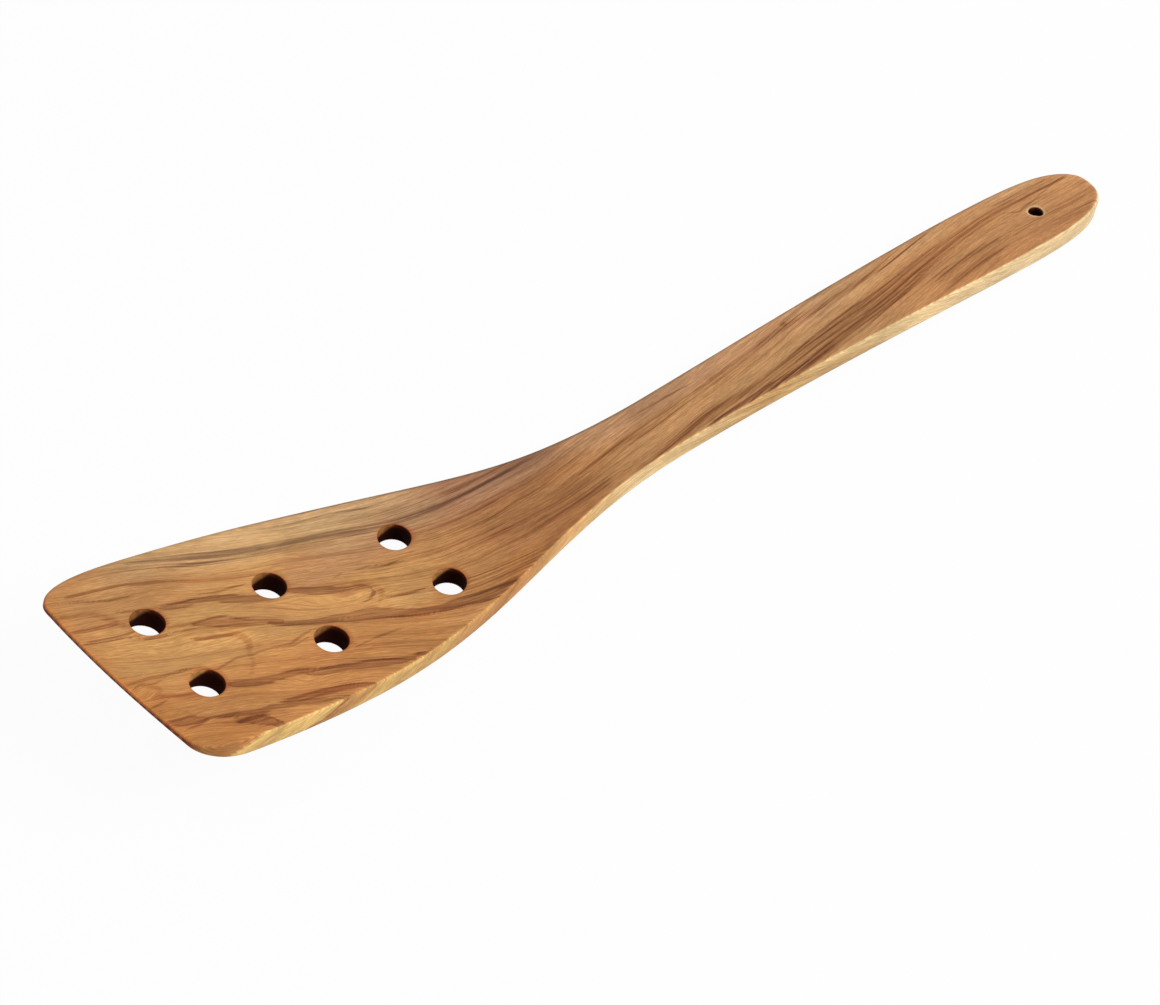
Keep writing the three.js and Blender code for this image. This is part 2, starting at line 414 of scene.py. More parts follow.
# %% Bands round the rim and through the holes
RIM_STEPS, HOLE_STEPS = (4, 4), (2, 8)


def band(loop, edge, out, ease_top, ease_sole, thick, in_hole):
    """Carries the eased profile along a loop. It starts and ends on the points of the two faces."""
    round_steps, wall_steps = HOLE_STEPS if in_hole else RIM_STEPS
    arc = np.linspace(0, np.pi / 2, round_steps + 1)[None, 1:]
    sizes = (ease_top, ease_sole, thick)
    ease_top, ease_sole, thick = (np.broadcast_to(size, len(loop))[:, None] for size in sizes)
    wall = np.linspace(0, 1, wall_steps + 1)[None, 1:]
    low = thick - ease_sole
    upper_inset, lower_inset = ease_top * (1 - np.sin(arc)), ease_sole * (1 - np.cos(arc[:, :-1]))
    upper, lower = ease_top * (1 - np.cos(arc)), low + ease_sole * np.sin(arc[:, :-1])
    inset = np.concatenate([upper_inset, 0 * wall * thick, lower_inset], axis=1)
    over = -np.concatenate([upper, ease_top + wall * (low - ease_top), lower], axis=1)
    plan = edge[:, None] - inset[..., None] * out[:, None]
    made = sum(len(part) for part in board_parts) + np.arange(inset.size).reshape(inset.shape)
    board_parts.append(with_height(plan, over))
    ids = np.concatenate([loop[:, None], made, loop[:, None] + SOLE_START], axis=1)
    after = np.roll(ids, -1, axis=0)
    quads = np.stack([ids[:, :-1], ids[:, 1:], after[:, 1:], after[:, :-1]], axis=-1)
    face_parts.append(quads.reshape(-1, 4))
    step = np.arange(quads.shape[1])
    straight = in_hole & (step >= round_steps) & (step < round_steps + wall_steps)
    wall_parts.append(np.tile(straight, len(loop)))


rim_loop = np.concatenate([point_id[:, 0], point_id[-1, 1:-1], point_id[::-1, -1], point_id[0, -2:0:-1]])
band(rim_loop, outline, outward, top_ease, sole_ease, rim_thick, False)
for (centre, radius, rim, uneven), (row, column, rows, columns) in zip(holes, windows):
    block = point_id[row - rows : row + rows + 1, column - columns : column + columns + 1]
    ring = np.concatenate([block[:-1, 0], block[-1, :-1], block[:0:-1, -1], block[0, :0:-1]])[::-1]
    spoke = top_plan.reshape(-1, 2)[ring] - centre
    length = np.linalg.norm(spoke, axis=1, keepdims=True)
    wall_edge = centre + spoke * (1 - rim / length)
    band(ring, wall_edge, -spoke / length, rim, rim, thickness(wall_edge), True)
print("bands:", len(face_parts) - 2)

# %% The mesh, seated in the solid's box


def put(name, data):
    """A new object in the scene that shows a mesh, a lamp or what a camera sees."""
    thing = bpy.data.objects.new(name, data)
    bpy.context.scene.collection.objects.link(thing)
    return thing


board = np.concatenate(board_parts)
faces = np.concatenate(face_parts)
hole_wall = np.concatenate(wall_parts)
used, faces = np.unique(faces, return_inverse=True)
board, faces = board[used], faces.reshape(-1, 4)
points = bend_board(board) / MILLIMETRES
points[:, 0] += (cad_box[0][0] + cad_box[1][0]) / 2 - (points[:, 0].min() + points[:, 0].max()) / 2
points[:, 2] += cad_box[0][2] - points[:, 2].min()

mesh = bpy.data.meshes.new("turner_board")
mesh.from_pydata(points, [], faces)
mesh.shade_smooth()
turner = put("turner_board", mesh)
print("points:", len(points), "triangles:", 2 * len(faces))

# %% [markdown]
# ## How the wood grew
# Olive wood shows its growth layers as fine wavy lines, with dark heartwood between honey-coloured wood.
# A picture of wood could be wrapped round the board, but it would break off at the edges and in the holes.
# So each point gets a place in the tree instead: how far along the grain it lies, which growth layer
# it is in, and how deep under the top face. The finish reads these three, and so every face is cut
# from the same log.

# %% Growth layers
SLOPE_AT = (-10, 8, 18, 30, 60, 75, 88, 100, 112, 122, 140, 165, 195, 225, 245, 258, 268, 276, 298)
SLOPE = (-0.16, -0.16, -0.2, -0.29, -0.29, -0.24, -0.12, -0.06, -0.01, 0.05,
         0.08, 0.1, 0.125, 0.15, 0.14, 0.11, 0.02, -0.01, 0.02)
SPREAD_AT, SPREAD = (20, 60, 75, 90), (0, 0.004, 0.004, 0)
LAYER_DIP = 0.75
SWELLINGS = (
    ((17, -2.5), (16, 4.2), 3.6),
    ((56, -2.6), (11, 2.4), 2.4),
    ((38, -20.2), (7, 2.2), 2.0),
    ((6.5, -8.6), (3, 2.2), -1.6),
    ((20, -25), (6, 2.2), 1.6),
)
SWELLING_TILT = -0.2


def summed(at, values, behind):
    """The running sum of a slope along the board, read off at each point."""
    fine = np.linspace(-10, 300, 3101)
    slope = np.interp(fine, at, values)
    total = np.concatenate([[0], np.cumsum((slope[1:] + slope[:-1]) / 2 * np.diff(fine))])
    return np.interp(behind, fine, total)


def growth(board):
    """The layer a point lies in: its place across, less the drift of the grain, dipping with depth.
    Each swelling pushes the layers aside in a soft hill, which the face cuts as an arch."""
    behind, across, over = board.T
    layer = across * (1 - summed(SPREAD_AT, SPREAD, behind))
    layer = layer - summed(SLOPE_AT, SLOPE, behind) - LAYER_DIP * over
    for (at, off), (long, wide), height in SWELLINGS:
        ahead = behind - at
        aside = across - off - SWELLING_TILT * ahead
        layer = layer + height * np.exp(-((ahead / long) ** 2) - (aside / wide) ** 2)
    return layer


layer = growth(board)
print("layers from", round(layer.min(), 1), "to", round(layer.max(), 1), "mm")

# %% [markdown]
# ## Drawing a streak
# The eye knows a board by its few strong streaks, so these are drawn one by one,
# as smooth paths over the top face with a width and a strength. Deeper points look up the place
# that their layer has on the top face, so that the streaks go on down the sides and on the sole.
# Only the soft shape of a streak is stored here. The finish breaks it into fine lines later.

# %% Paths and soft strokes
PATH_STEPS, STREAK_REACH = 6, 3
SHORTEST_FADE, FADE_SHARE, LONGEST_FADE_SHARE = 4.0, 0.2, 0.4
surface = board[:, :2].copy()
surface[:, 1] -= LAYER_DIP * board[:, 2]


def smooth_path(knots):
    """A smooth curve through all knots: each span mixes the lines through its neighbours."""
    knots = np.asarray(knots, float)
    padded = np.concatenate([2 * knots[:1] - knots[1:2], knots, 2 * knots[-1:] - knots[-2:-1]])
    a, b, c, d = (padded[k : len(padded) - 3 + k, None] for k in range(4))
    t = np.linspace(0, 1, PATH_STEPS, endpoint=False)[None, :, None]
    curve = b + t * (c - a) / 2 + t**2 * (a - 2.5 * b + 2 * c - d / 2)
    curve = curve + t**3 * (1.5 * (b - c) + (d - a) / 2)
    return np.concatenate([curve.reshape(-1, knots.shape[1]), knots[-1:]])


def near_spans(path, reach):
    """For each span of a path: the points in its reach, the share of each short step at which they lie,
    and how far off the step they are there."""
    step = np.diff(path, axis=0)
    for first in range(0, len(step), PATH_STEPS):
        span = np.s_[first : first + PATH_STEPS]
        around = path[first : first + PATH_STEPS + 1]
        in_box = (surface > around.min(0) - reach) & (surface < around.max(0) + reach)
        close = np.flatnonzero(in_box.all(axis=1))
        offset = surface[close, None] - path[span]
        share = np.clip((offset * step[span]).sum(2) / (step[span] ** 2).sum(1), 0, 1)
        gap = np.linalg.norm(offset - share[..., None] * step[span], axis=2)
        yield span, close, share, gap


def streak(half_width, strength, *knots):
    """A soft stroke: half its strength is left at the half-width, and both of its ends run out softly."""
    path = smooth_path(knots)
    long = np.linalg.norm(np.diff(path, axis=0), axis=1)
    run_at = np.cumsum(long) - long
    apart, run = np.full(len(surface), np.inf), np.zeros(len(surface))
    for span, close, share, gap in near_spans(path, STREAK_REACH * half_width):
        nearest = gap.argmin(axis=1)[:, None]
        gap = np.take_along_axis(gap, nearest, 1)[:, 0]
        here = np.take_along_axis(run_at[span] + share * long[span], nearest, 1)[:, 0]
        better = gap < apart[close]
        apart[close[better]], run[close[better]] = gap[better], here[better]
    total = long.sum()
    fade_over = min(max(SHORTEST_FADE, FADE_SHARE * total), LONGEST_FADE_SHARE * total)
    fade = soft_step(np.minimum(run, total - run), 0, fade_over)
    return strength * fade * 0.5 ** ((apart / half_width) ** 2)


def drawn(stroke, *strokes):
    """All strokes of one kind together: at each point the strongest of them counts."""
    return np.max([stroke(*each) for each in strokes], axis=0)


print("points that streaks are drawn on:", len(surface))

# %% [markdown]
# ## Bands with clear borders
# Where the saw met a growth layer at a flat angle, the layer shows as a broad rosy band with clear borders.
# A soft stroke would look smeared there. So each knot of such a band also has a half-width, and what is
# stored is a distance: the half-width less the way to the path. It is zero on the border.
# A distance changes evenly from point to point, so the finish can draw a sharp border on a coarse mesh.

# %% Ribbons and hairlines
BAND_REACH = 1.5
HAIR_SPARE, HAIR_END = 0.05, 0.3


def ribbon(*knots):
    """The half-width less the distance to the path, in millimetres: positive inside the band."""
    path = smooth_path(knots)
    place, width = path[:, :2], path[:, 2]
    inside = np.full(len(surface), -BAND_REACH)
    for span, close, share, gap in near_spans(place, width.max() + BAND_REACH):
        here = width[span] + share * np.diff(width)[span] - gap
        inside[close] = np.maximum(inside[close], here.max(axis=1))
    return inside


def hairline(half_width, *knots):
    """A ribbon as thin as a pencil line, which runs out at both of its ends."""
    widths = np.full((len(knots), 1), half_width + HAIR_SPARE)
    widths[[0, -1]] *= HAIR_END
    return ribbon(*np.hstack([knots, widths]))


print("bands reach", BAND_REACH, "mm past their borders")

# %% Rosy bands of the blade, and one at the near edge of the handle
rosy_band = drawn(
    ribbon,
    ((158, -8, -0.3), (167, -8.2, 0.6), (174, -8.1, 1), (181, -7.7, 1), (188, -7.3, 0.5), (194, -6.6, 0.2)),
    ((21.6, -13, 0.3), (24, -14.2, 1.05), (27.7, -15.3, 1.1), (31.4, -16, 1), (33.7, -16.2, 0.95),
     (37, -16.6, 0.8), (39.2, -17.1, 0.9), (41.8, -18.4, 1.15), (44.4, -19.2, 1.05), (48.4, -19.8, 0.95),
     (51.9, -21, 1.15), (55.7, -21.9, 1.35), (59.1, -23.1, 1.05), (62.1, -23.9, 0.7), (66, -24.2, 0.4),
     (69.4, -24.2, 0.15)),
    ((3.7, -17.9, 0.3), (6.2, -18.8, 1), (9.1, -19.3, 1.2), (11.4, -19.8, 0.8), (13.2, -20.2, 0.35),
     (14.7, -20.6, 0.4), (16.6, -21, 0.55), (18.8, -21.5, 0.65), (21, -22.1, 0.65), (24, -22.8, 0.65),
     (27, -23.1, 0.7), (29.9, -23.7, 0.85), (33.3, -24.4, 0.7), (35.1, -25, 0.8), (37, -25.6, 0.75),
     (39.6, -26.3, 0.5), (42.6, -27, 0.35), (46, -27.8, 0.2)),
    ((18.3, -23.8, 0.4), (21.5, -24.7, 1.1), (24, -25.8, 1.3), (25.6, -27.2, 1), (26.6, -28.6, 0.7)),
    ((20, 11.9, 0.4), (22.6, 11.4, 0.75), (26, 10.8, 0.85), (28.6, 10.6, 0.8), (32.4, 9.9, 1),
     (34.6, 8.9, 1.2), (37.1, 7.6, 1.3), (39.7, 6.5, 1.15), (42.3, 5.5, 1), (44.6, 4.6, 0.8)),
    ((47.5, 5.6, 0.3), (51, 4.4, 0.8), (54.9, 2.4, 1.15), (59.1, 0.9, 1), (61.7, -0.1, 0.9),
     (64.3, -0.7, 0.8), (66.3, -1.5, 0.65), (67.3, -2.7, 0.5), (66.9, -4, 0.4), (65.3, -5, 0.3),
     (63.3, -5.4, 0.15)),
    ((40, -1.4, 0.3), (42, -2.7, 0.5), (46.3, -4.4, 0.8), (50.6, -5.8, 0.95), (54.9, -6.7, 1.1),
     (58.3, -8, 1.6), (61.7, -8.6, 1.8), (65.1, -9.7, 1.6), (67.7, -11, 1.45), (70.3, -12.5, 1.35),
     (72.9, -13.7, 1.2), (75.4, -14.5, 1.15), (78.4, -15.3, 1.15), (81.4, -15.7, 1.3), (84.9, -16.4, 1.5),
     (88.3, -17.1, 1.5), (91.3, -17.4, 1.3), (96, -17.9, 0.8), (100, -18, 0.2)),
)
print("points in rosy bands:", int((rosy_band > 0).sum()))

# %% Rust-brown and blush bands of the blade
rust_band = drawn(
    ribbon,
    ((13.5, -6, 0.25), (16.6, -6.25, 0.4), (18.2, -6.8, 0.6), (19.6, -7.5, 0.7), (21, -8.4, 0.4)),
    ((4.6, -6.8, 0.2), (6, -7.5, 0.45), (7.2, -8.2, 0.6), (7.4, -9.1, 0.6), (6.6, -10, 0.7),
     (5, -10.5, 0.5)),
    ((6.4, -10.3, 0.6), (8.8, -11.6, 0.6), (11, -12.4, 0.75), (14, -13, 1), (16, -13.6, 0.9)),
    ((22, 0.95, 0.3), (24, 0.25, 0.55), (27, -0.4, 0.65), (30, -1, 0.9), (32, -2.3, 1.1), (32.7, -4, 0.95),
     (32.2, -5.9, 0.8), (31.2, -7.4, 0.55), (30.9, -9, 0.4), (30.2, -10.7, 0.35), (29, -12, 0.4),
     (28, -13.1, 0.3)),
    ((-2.2, 17.4, 0.5), (2.4, 16.6, 0.65), (5.4, 15.7, 0.75), (7.1, 14.5, 0.85), (8.3, 13, 0.85),
     (9.3, 11.2, 0.75), (10.8, 9.8, 0.5)),
    ((27, 18, 0.2), (29.4, 17, 0.45), (32.9, 15.4, 0.55), (37.1, 14.2, 0.55), (41.4, 13.1, 0.5),
     (46, 12.3, 0.3)),
    ((68, -6, 0.2), (71.1, -7, 0.5), (74.6, -7.9, 0.5), (78.4, -8.4, 0.3)),
    ((64, 0.4, 0.3), (67, -1, 0.6), (68.6, -3, 0.8), (68.4, -5, 0.7), (66.6, -7, 0.3)),
)
blush_band = drawn(
    ribbon,
    ((24.5, 4.7, 0.3), (27.5, 4, 1), (30.5, 3.1, 1.5), (33, 1.7, 1.25), (36, 0.3, 0.9), (40, -1.2, 0.75),
     (43, -2.4, 0.6)),
    ((-1.6, 12.8, 0.35), (1.6, 12.3, 0.45), (4.6, 11.9, 0.5), (8.4, 11.2, 0.4)),
    ((-0.5, 8.7, 0.3), (2.9, 8.4, 0.45), (5.9, 7.8, 0.45), (8.9, 7.6, 0.45), (11, 8, 0.3)),
    ((9.4, 6.6, 0.2), (12.3, 5.2, 0.35), (15.3, 4.6, 0.35), (17.5, 4.4, 0.2)),
    ((30.7, -22.4, 0.2), (36, -23.6, 0.8), (42, -24.4, 0.9), (48, -25.7, 0.6), (52, -27, 0.3)),
)
print("points in rust-brown bands:", int((rust_band > 0).sum()))
print("points in blush bands:", int((blush_band > 0).sum()))

# %% Hairlines of the blade
fine_line = drawn(
    hairline,
    (0.45, (2, 22.6), (4.1, 22.4), (8.9, 22.1), (13.1, 21.7), (16.6, 21.1), (20, 20), (23.4, 19.1),
     (28, 17.6)),
    (0.35, (-1.5, 21.7), (4.6, 20.4), (8.9, 18.8), (11.4, 18.1), (14.9, 17.6), (19, 16.6)),
    (0.3, (10.1, 14.9), (12.3, 14.2), (14.4, 13.6), (17.4, 12.7), (20, 12.4), (22.6, 12.1), (26, 11.6),
     (29, 11.4)),
    (0.25, (10.4, 14.2), (12.5, 13.6), (14.4, 13.1)),
    (0.28, (29, 12.4), (34.6, 11.3), (38.9, 11), (42.5, 10.8)),
    (0.35, (17.5, 5.95), (20.4, 5.85), (22.6, 5.4), (26, 5), (28.6, 4.8), (31.6, 4.35), (33.3, 3.3),
     (34.8, 2.3), (37.5, 1.2)),
    (0.24, (17, 4.8), (21, 4.1), (26, 3.2)),
    (0.42, (21.6, 1.4), (22.3, 0.7), (23.4, 0.25), (26, -0.2), (28.6, -0.8), (31.5, -1.7)),
    (0.36, (-1, -5.6), (3.6, -5.15), (7.3, -5.35), (10.3, -5.9), (14.3, -6.1), (17.5, -6.5)),
    (0.3, (2, -6.8), (4.3, -6.15), (6, -6.75), (8, -7), (11, -6.2)),
    (0.3, (1, -13.1), (5.1, -12.65), (8.5, -11.9)),
    (0.32, (21.5, -8.8), (24, -8.4), (26.2, -7.9), (27.7, -7.65), (29.6, -7.8), (31.4, -8.25), (33.7, -8.1),
     (36.6, -8.25), (38.9, -8.7), (41.1, -9), (42.9, -8.4), (46, -7.6), (50, -7.2)),
    (0.24, (36, -8.5), (39.6, -9.3), (42, -9.6), (46.5, -8.8)),
    (0.32, (32, -15.3), (37, -15.9), (39.2, -16.4), (42, -17.6), (46, -18.7), (52.7, -20.4), (56.1, -21.3),
     (60, -22.6), (63.4, -23.4), (69, -24.1)),
    (0.34, (6, -21.2), (9.1, -20.9), (11.4, -20.6), (13.6, -20.1), (15.8, -20.7), (20, -21.5)),
    (0.26, (15.2, -20.8), (17, -21.6), (18.2, -22.5)),
    (0.24, (16.6, -20.8), (18.2, -21.6), (19.4, -22.8)),
    (0.3, (24.3, -23.8), (25.8, -26.1), (26.6, -27.8)),
    (0.3, (29, -22.5), (35.1, -23.2), (38.9, -23.4), (42.6, -23.9), (46, -24.4), (51, -25.9)),
    (0.3, (33, -24.2), (38.9, -24.3), (42.6, -24.8), (46, -25.4), (50, -26.7)),
)
print("points on the blade's front hairlines:", int((fine_line > 0).sum()))

# %% Hairlines of the shoulders, the neck and the handle
more_lines = drawn(
    hairline,
    (0.4, (39, -2), (42.9, -3.5), (47.1, -4.8), (51.4, -6.1), (55.7, -7.4), (60, -8.4)),
    (0.3, (58.6, -8), (62.1, -8.7), (65, -9.5)),
    (0.34, (62, -10.2), (67.7, -12.5), (71.1, -14), (74.6, -15.3), (78.9, -16.1), (81.9, -17),
     (84.9, -17.6), (88.3, -18.5), (93, -19.4)),
    (0.34, (67.6, -5.8), (71.1, -7), (74.6, -7.9), (80, -8.5)),
    (0.22, (53, -16), (59.1, -15.5), (65.1, -15.7), (71, -16.3)),
    (0.26, (60.8, 4.2), (62.5, 4.2), (64.2, 4.7)),
    (0.26, (65, 3.9), (71.1, 3.4), (73.6, 2), (75.7, 1.7), (80, 2)),
    (0.26, (60, 23), (67, 22.2), (71, 21.7), (75.2, 20.6), (80, 18.9), (85, 17.6)),
    (0.3, (102, 0.8), (111, 1.7), (116, 1.5), (124, 2.2)),
    (0.26, (149, 5.1), (158, 5.1), (168, 4.7)),
    (0.24, (181, -4.6), (190, -3.3), (200, -1.3), (210, 0), (220, 0.8), (230, 2), (240, 3.8), (250, 4.9)),
    (0.24, (186, -8.2), (196, -7.3), (204, -6.2), (212, -5.3), (220, -4.7), (228, -3.4), (236, -1.3),
     (246, 1)),
    (0.24, (178, -7), (186, -6.8), (196, -5.8), (206, -4.6), (214, -4), (222, -3.4), (230, -2), (237, -0.2),
     (250, 2.2)),
    (0.24, (190, -5.2), (200, -4.1), (210, -3.2), (218, -2.7), (226, -1.7), (234, 0.2), (244, 2)),
    (0.2, (196, -2.7), (206, -1.8), (216, -1), (226, 0.2), (236, 2.2), (248, 4)),
    (0.2, (222, 5.6), (230, 6.4), (236, 7.4), (246, 9)),
    (0.26, (267.5, 4.4), (272.5, 2), (275, 2.3), (280, 3.2), (291, 5.4)),
)
fine_line = np.maximum(fine_line, more_lines)
print("points on all hairlines:", int((fine_line > 0).sum()))

# %% A pin knot in the handle
KNOT_AT, KNOT_HALF, KNOT_DEPTH = (196.5, 6.2), (1.3, 0.9), 2
behind, across, over = board.T
knot_gap = ((board[:, :2] - KNOT_AT) / KNOT_HALF) ** 2
knot = np.exp(-knot_gap.sum(axis=1)) * soft_step(over, -KNOT_DEPTH, -0.5)
fine_line = np.maximum(fine_line, 0.9 * knot - 0.5)
print("points in the knot:", int((knot > 0.5).sum()))

# %% Dark bands of the neck and the handle
dark_streak = drawn(
    streak,
    (0.6, 0.4, (67, 2.2), (76, 1.6), (85, 2.6)),
    (0.6, 0.45, (84, 3.2), (95, 2), (107, 1)),
    (0.6, 0.45, (87, 6.4), (98, 5.4), (110, 4.4)),
    (0.7, 0.65, (82, -12.7), (95, -14.6), (109, -15.2)),
    (0.6, 0.6, (86, -10.6), (96, -12), (109, -13.2)),
    (0.7, 0.75, (82, -14.8), (92, -16.6), (101, -17.6)),
    (0.7, 0.45, (83, -2.8), (95, -3.6), (109, -4)),
    (0.8, 0.55, (116, 1.8), (126, 3), (137, 3.5)),
    (1.3, 0.55, (108, -6.5), (120, -7), (136, -6.8)),
    (0.8, 0.6, (122, -1.8), (135, -0.2), (140, 0), (150, 0.2), (156, 0.9), (163, 1.6), (170, 1.8),
     (176, 2.6), (182, 3.2), (190, 4.6), (197, 5), (206, 5.1), (214, 5.8), (224, 6.4), (240, 7.6)),
    (0.8, 0.65, (134, -9), (147, -8.2), (154, -7.2), (160, -5.8), (166, -4.9), (176, -5.2)),
    (0.6, 0.7, (160, -6.9), (168, -7.9), (177, -8.3)),
    (1.2, 0.75, (168, -8.4), (177, -7.9), (188, -7.4), (198, -6.4), (208, -5)),
    (0.8, 0.3, (193, 6.2), (205, 8.2), (218, 9.2)),
    (1.0, 0.3, (216, 6.6), (230, 8), (238, 9.1), (253, 10.4)),
    (0.9, 0.7, (235, -4.9), (248, -3.1), (255, -2.8), (266, -2.8)),
    (0.5, 0.5, (236, -8.4), (250, -6.6), (264, -5.3)),
    (0.7, 0.5, (262, -4.2), (276, -3.3), (295, -2.9)),
    (1.0, 0.5, (276, -6.4), (286, -6), (296, -4.8)),
    (1.0, 0.55, (267, 6.8), (278, 6), (286, 6.3), (296, 4.4)),
    (0.5, 0.45, (273, 4), (282, 4.8), (291, 5.5)),
    (0.6, 0.5, (279, 1.4), (290, 1.8), (298, 1)),
)
print("points in dark streaks:", int((dark_streak > 0.2).sum()))

# %% Broad rosy bands of the handle, and soft rosy streaks
rose_band = drawn(
    ribbon,
    ((170, -8.4, 0.3), (176, -7.9, 0.7), (183, -7.2, 1.4), (190, -6.5, 2), (200, -4.9, 2.5),
     (210, -3.3, 2.7), (220, -2, 2.8), (230, -0.6, 2.6), (240, 1.7, 2.2), (250, 3.3, 1.8), (260, 4.4, 1.6),
     (268, 5.2, 1.4), (276, 5.2, 1), (284, 5.5, 0.6), (292, 5, 0.2)),
    ((146, -7.9, 0.3), (156, -6.5, 0.9), (164, -5.6, 1.1), (172, -5.3, 0.9), (180, -5.5, 0.7),
     (188, -4.6, 0.5), (198, -2, 0.3)),
    ((128, -1, 0.3), (140, 0, 0.8), (150, 0, 0.8), (160, 1, 0.6), (170, 2, 0.7), (176, 2.8, 0.8),
     (184, 3.6, 0.6), (190, 4.6, 0.7), (200, 5.2, 0.7), (210, 5.7, 0.7), (220, 6.4, 0.5), (230, 7.2, 0.4),
     (240, 8.4, 0.4), (247, 9.2, 0.2)),
)
rose_streak = drawn(
    streak,
    (1.0, 0.55, (94, 13.4), (108, 12.2), (124, 10.2)),
    (1.4, 0.4, (46, 12.6), (58, 11.2), (66, 9.4), (74, 6.6)),
    (2.2, 0.5, (56, 0.6), (65, -1.6), (74, -3.2)),
    (2.4, 0.4, (18, 2.6), (27, 1), (39, -1)),
    (1.0, 0.6, (204, -5.6), (218, -4.6), (232, -2.4)),
)
print("points in rosy streaks:", int((rose_streak > 0.3).sum()))
print("points in the handle's bands:", int((rose_band > 0).sum()))

# %% Plum-coloured and pale streaks
plum_band = drawn(
    ribbon,
    ((20, 26.6, 0.2), (24, 26, 0.4), (30, 24.4, 0.7), (34.6, 23.1, 1), (39, 21.8, 1), (42, 21, 1.05),
     (46.2, 19.9, 0.75), (50.3, 18.9, 0.85), (54.5, 18.1, 0.7), (58.6, 17.5, 0.7), (62.8, 17, 0.65),
     (66.9, 16.2, 0.8), (71.1, 14.8, 1), (75.2, 13.3, 0.75), (80, 12.3, 0.6), (86, 11.6, 0.7),
     (94, 10.9, 0.7), (104, 10.4, 0.5), (116, 10, 0.2)),
    ((26, 22.6, 0.15), (36, 20.4, 0.4), (44, 18.6, 0.3), (52, 17, 0.4), (60, 15.4, 0.35), (68, 13.4, 0.2)),
)
plum_streak = drawn(
    streak,
    (2.0, 0.45, (0, 30), (12, 28), (26, 25.4), (31, 24.2), (36, 22.8), (40, 21.6), (45, 20.6), (50, 19.6),
     (55, 18.4), (60, 17.4), (65, 16.4), (70, 15.2), (75, 14), (80, 12.9), (85, 12.2), (92, 11.3),
     (100, 10.7), (110, 10.2), (120, 9.8), (132, 9.2), (150, 8.2)),
    (0.8, 0.9, (30, 24.4), (40, 21.8), (56, 18.4)),
    (0.7, 1.0, (52, 18.6), (62, 16.9), (70, 14.9), (80, 12.6)),
    (1.0, 0.4, (79, 14.7), (92, 13.4), (107, 12)),
    (0.8, 0.8, (97, 10.8), (112, 10.2), (131, 9.2)),
    (0.7, 0.6, (25, 22.7), (42, 18.8), (52, 17), (67, 13.4)),
)
pale_streak = drawn(
    streak,
    (1.6, 0.85, (34, 27), (55, 23.8), (66, 21.8), (88, 17)),
    (0.7, 0.6, (78, 18.2), (90, 16.6), (102, 15)),
    (1.5, 0.5, (64, 18.6), (76, 16.4), (92, 13.8), (104, 12.6)),
    (0.8, 0.5, (52, 5.3), (62, 4.7), (74, 2.6)),
    (1.0, 0.6, (17, 8.6), (26, 7.6), (37, 5.6)),
    (2.2, 0.35, (4, -2), (16, -2.4), (28, -4)),
    (0.8, 0.7, (23, 15.4), (30, 14.6), (37, 13)),
    (1.0, 0.6, (-3, 20), (5, 19), (14, 18)),
    (1.1, 0.4, (69, -0.6), (76, -2), (85, -3.8)),
    (1.6, 0.3, (27, -18.2), (36, -20), (47, -22)),
    (2.2, 0.8, (67, -8), (74, -9.4), (81, -11.4)),
    (0.6, 0.8, (107, 0.5), (118, 0.2), (131, 0.6)),
    (1.2, 0.5, (168, -1.8), (190, -1), (208, 1.2)),
    (1.1, 0.55, (192, 1.4), (215, 3.6), (238, 5.4)),
    (1.1, 0.3, (218, 3.2), (240, 6.5), (262, 8)),
    (1.2, 0.8, (266, 8.7), (278, 8.6), (288, 8.2)),
    (1.4, 1.0, (194, 8), (206, 8.4), (218, 8), (232, 8.4)),
)
print("plum points:", int((plum_streak > 0.2).sum()), "pale points:", int((pale_streak > 0.2).sum()))

# %% [markdown]
# ## Broad zones
# Some differences are wider than a streak. The near half of the blade is more orange than its middle,
# the neck is brown, the handle is paler, and the near side face is creamier than the top face.
# One dark growth line runs down that side face at a slant, and behind it the wood is orange for a while.
# These tones are mixed here, point by point, into one ground colour that the streaks are laid on.

# %% The tones of the wood


def shade(red, green, blue):
    """A colour as it looks on a screen, turned into the linear light that the finish works in."""
    screen = np.array([red, green, blue]) / 255
    return np.where(screen <= 0.04045, screen / 12.92, ((screen + 0.055) / 1.055) ** 2.4)


HONEY, AMBER, TAN = shade(206, 154, 94), shade(196, 137, 80), shade(191, 138, 86)
HEART, WHEAT, ROSY = shade(171, 118, 73), shade(197, 148, 99), shade(191, 136, 88)
PALE, DUSKY = shade(209, 166, 114), shade(178, 133, 99)
# The dark red-brown tone here also colours the upper part of the painted shade on the hole walls.
CREAM, STRAW, RED_BROWN_AND_BORE_SHADE = shade(238, 210, 160), shade(238, 198, 124), shade(92, 42, 18)
TOAST, FLESH, DRIFT = shade(176, 112, 56), shade(196, 142, 97), shade(205, 159, 118)
print("tones named, honey in linear light:", np.round(HONEY, 3).tolist())

# %% The near side face and its dark line
FRONT_REACH, NEAR_SIDE_FROM = 14, 22
DARK_LINE_DEPTH, DARK_LINE_AT = (0, 1, 2, 3, 4, 5, 6), (43.8, 43, 41.8, 40.2, 38, 33.6, 30)
ORANGE_PAST = (-0.4, 0.6, 7, 16, 23, 26, 30, 37, 57, 77, 107, 122, 142, 157)
ORANGE_SHARE = (0, 0.8, 0.6, 0.1, 0.1, 0.55, 0.25, 0.75, 0.95, 0.6, 0.1, 0.2, 0.5, 0)
SIDE_CREAM_AT = (95, 120, 140, 160, 180, 200, 225, 260)
SIDE_CREAM_SHARE = (0, 0.2, 0.75, 0.6, 0.15, 0.6, 0.85, 1)


def between(value, start, full, fading, stop):
    """Rises from 0 to 1 between start and full, and falls back to 0 between fading and stop."""
    return soft_step(value, start, full) * soft_drop(value, fading, stop)


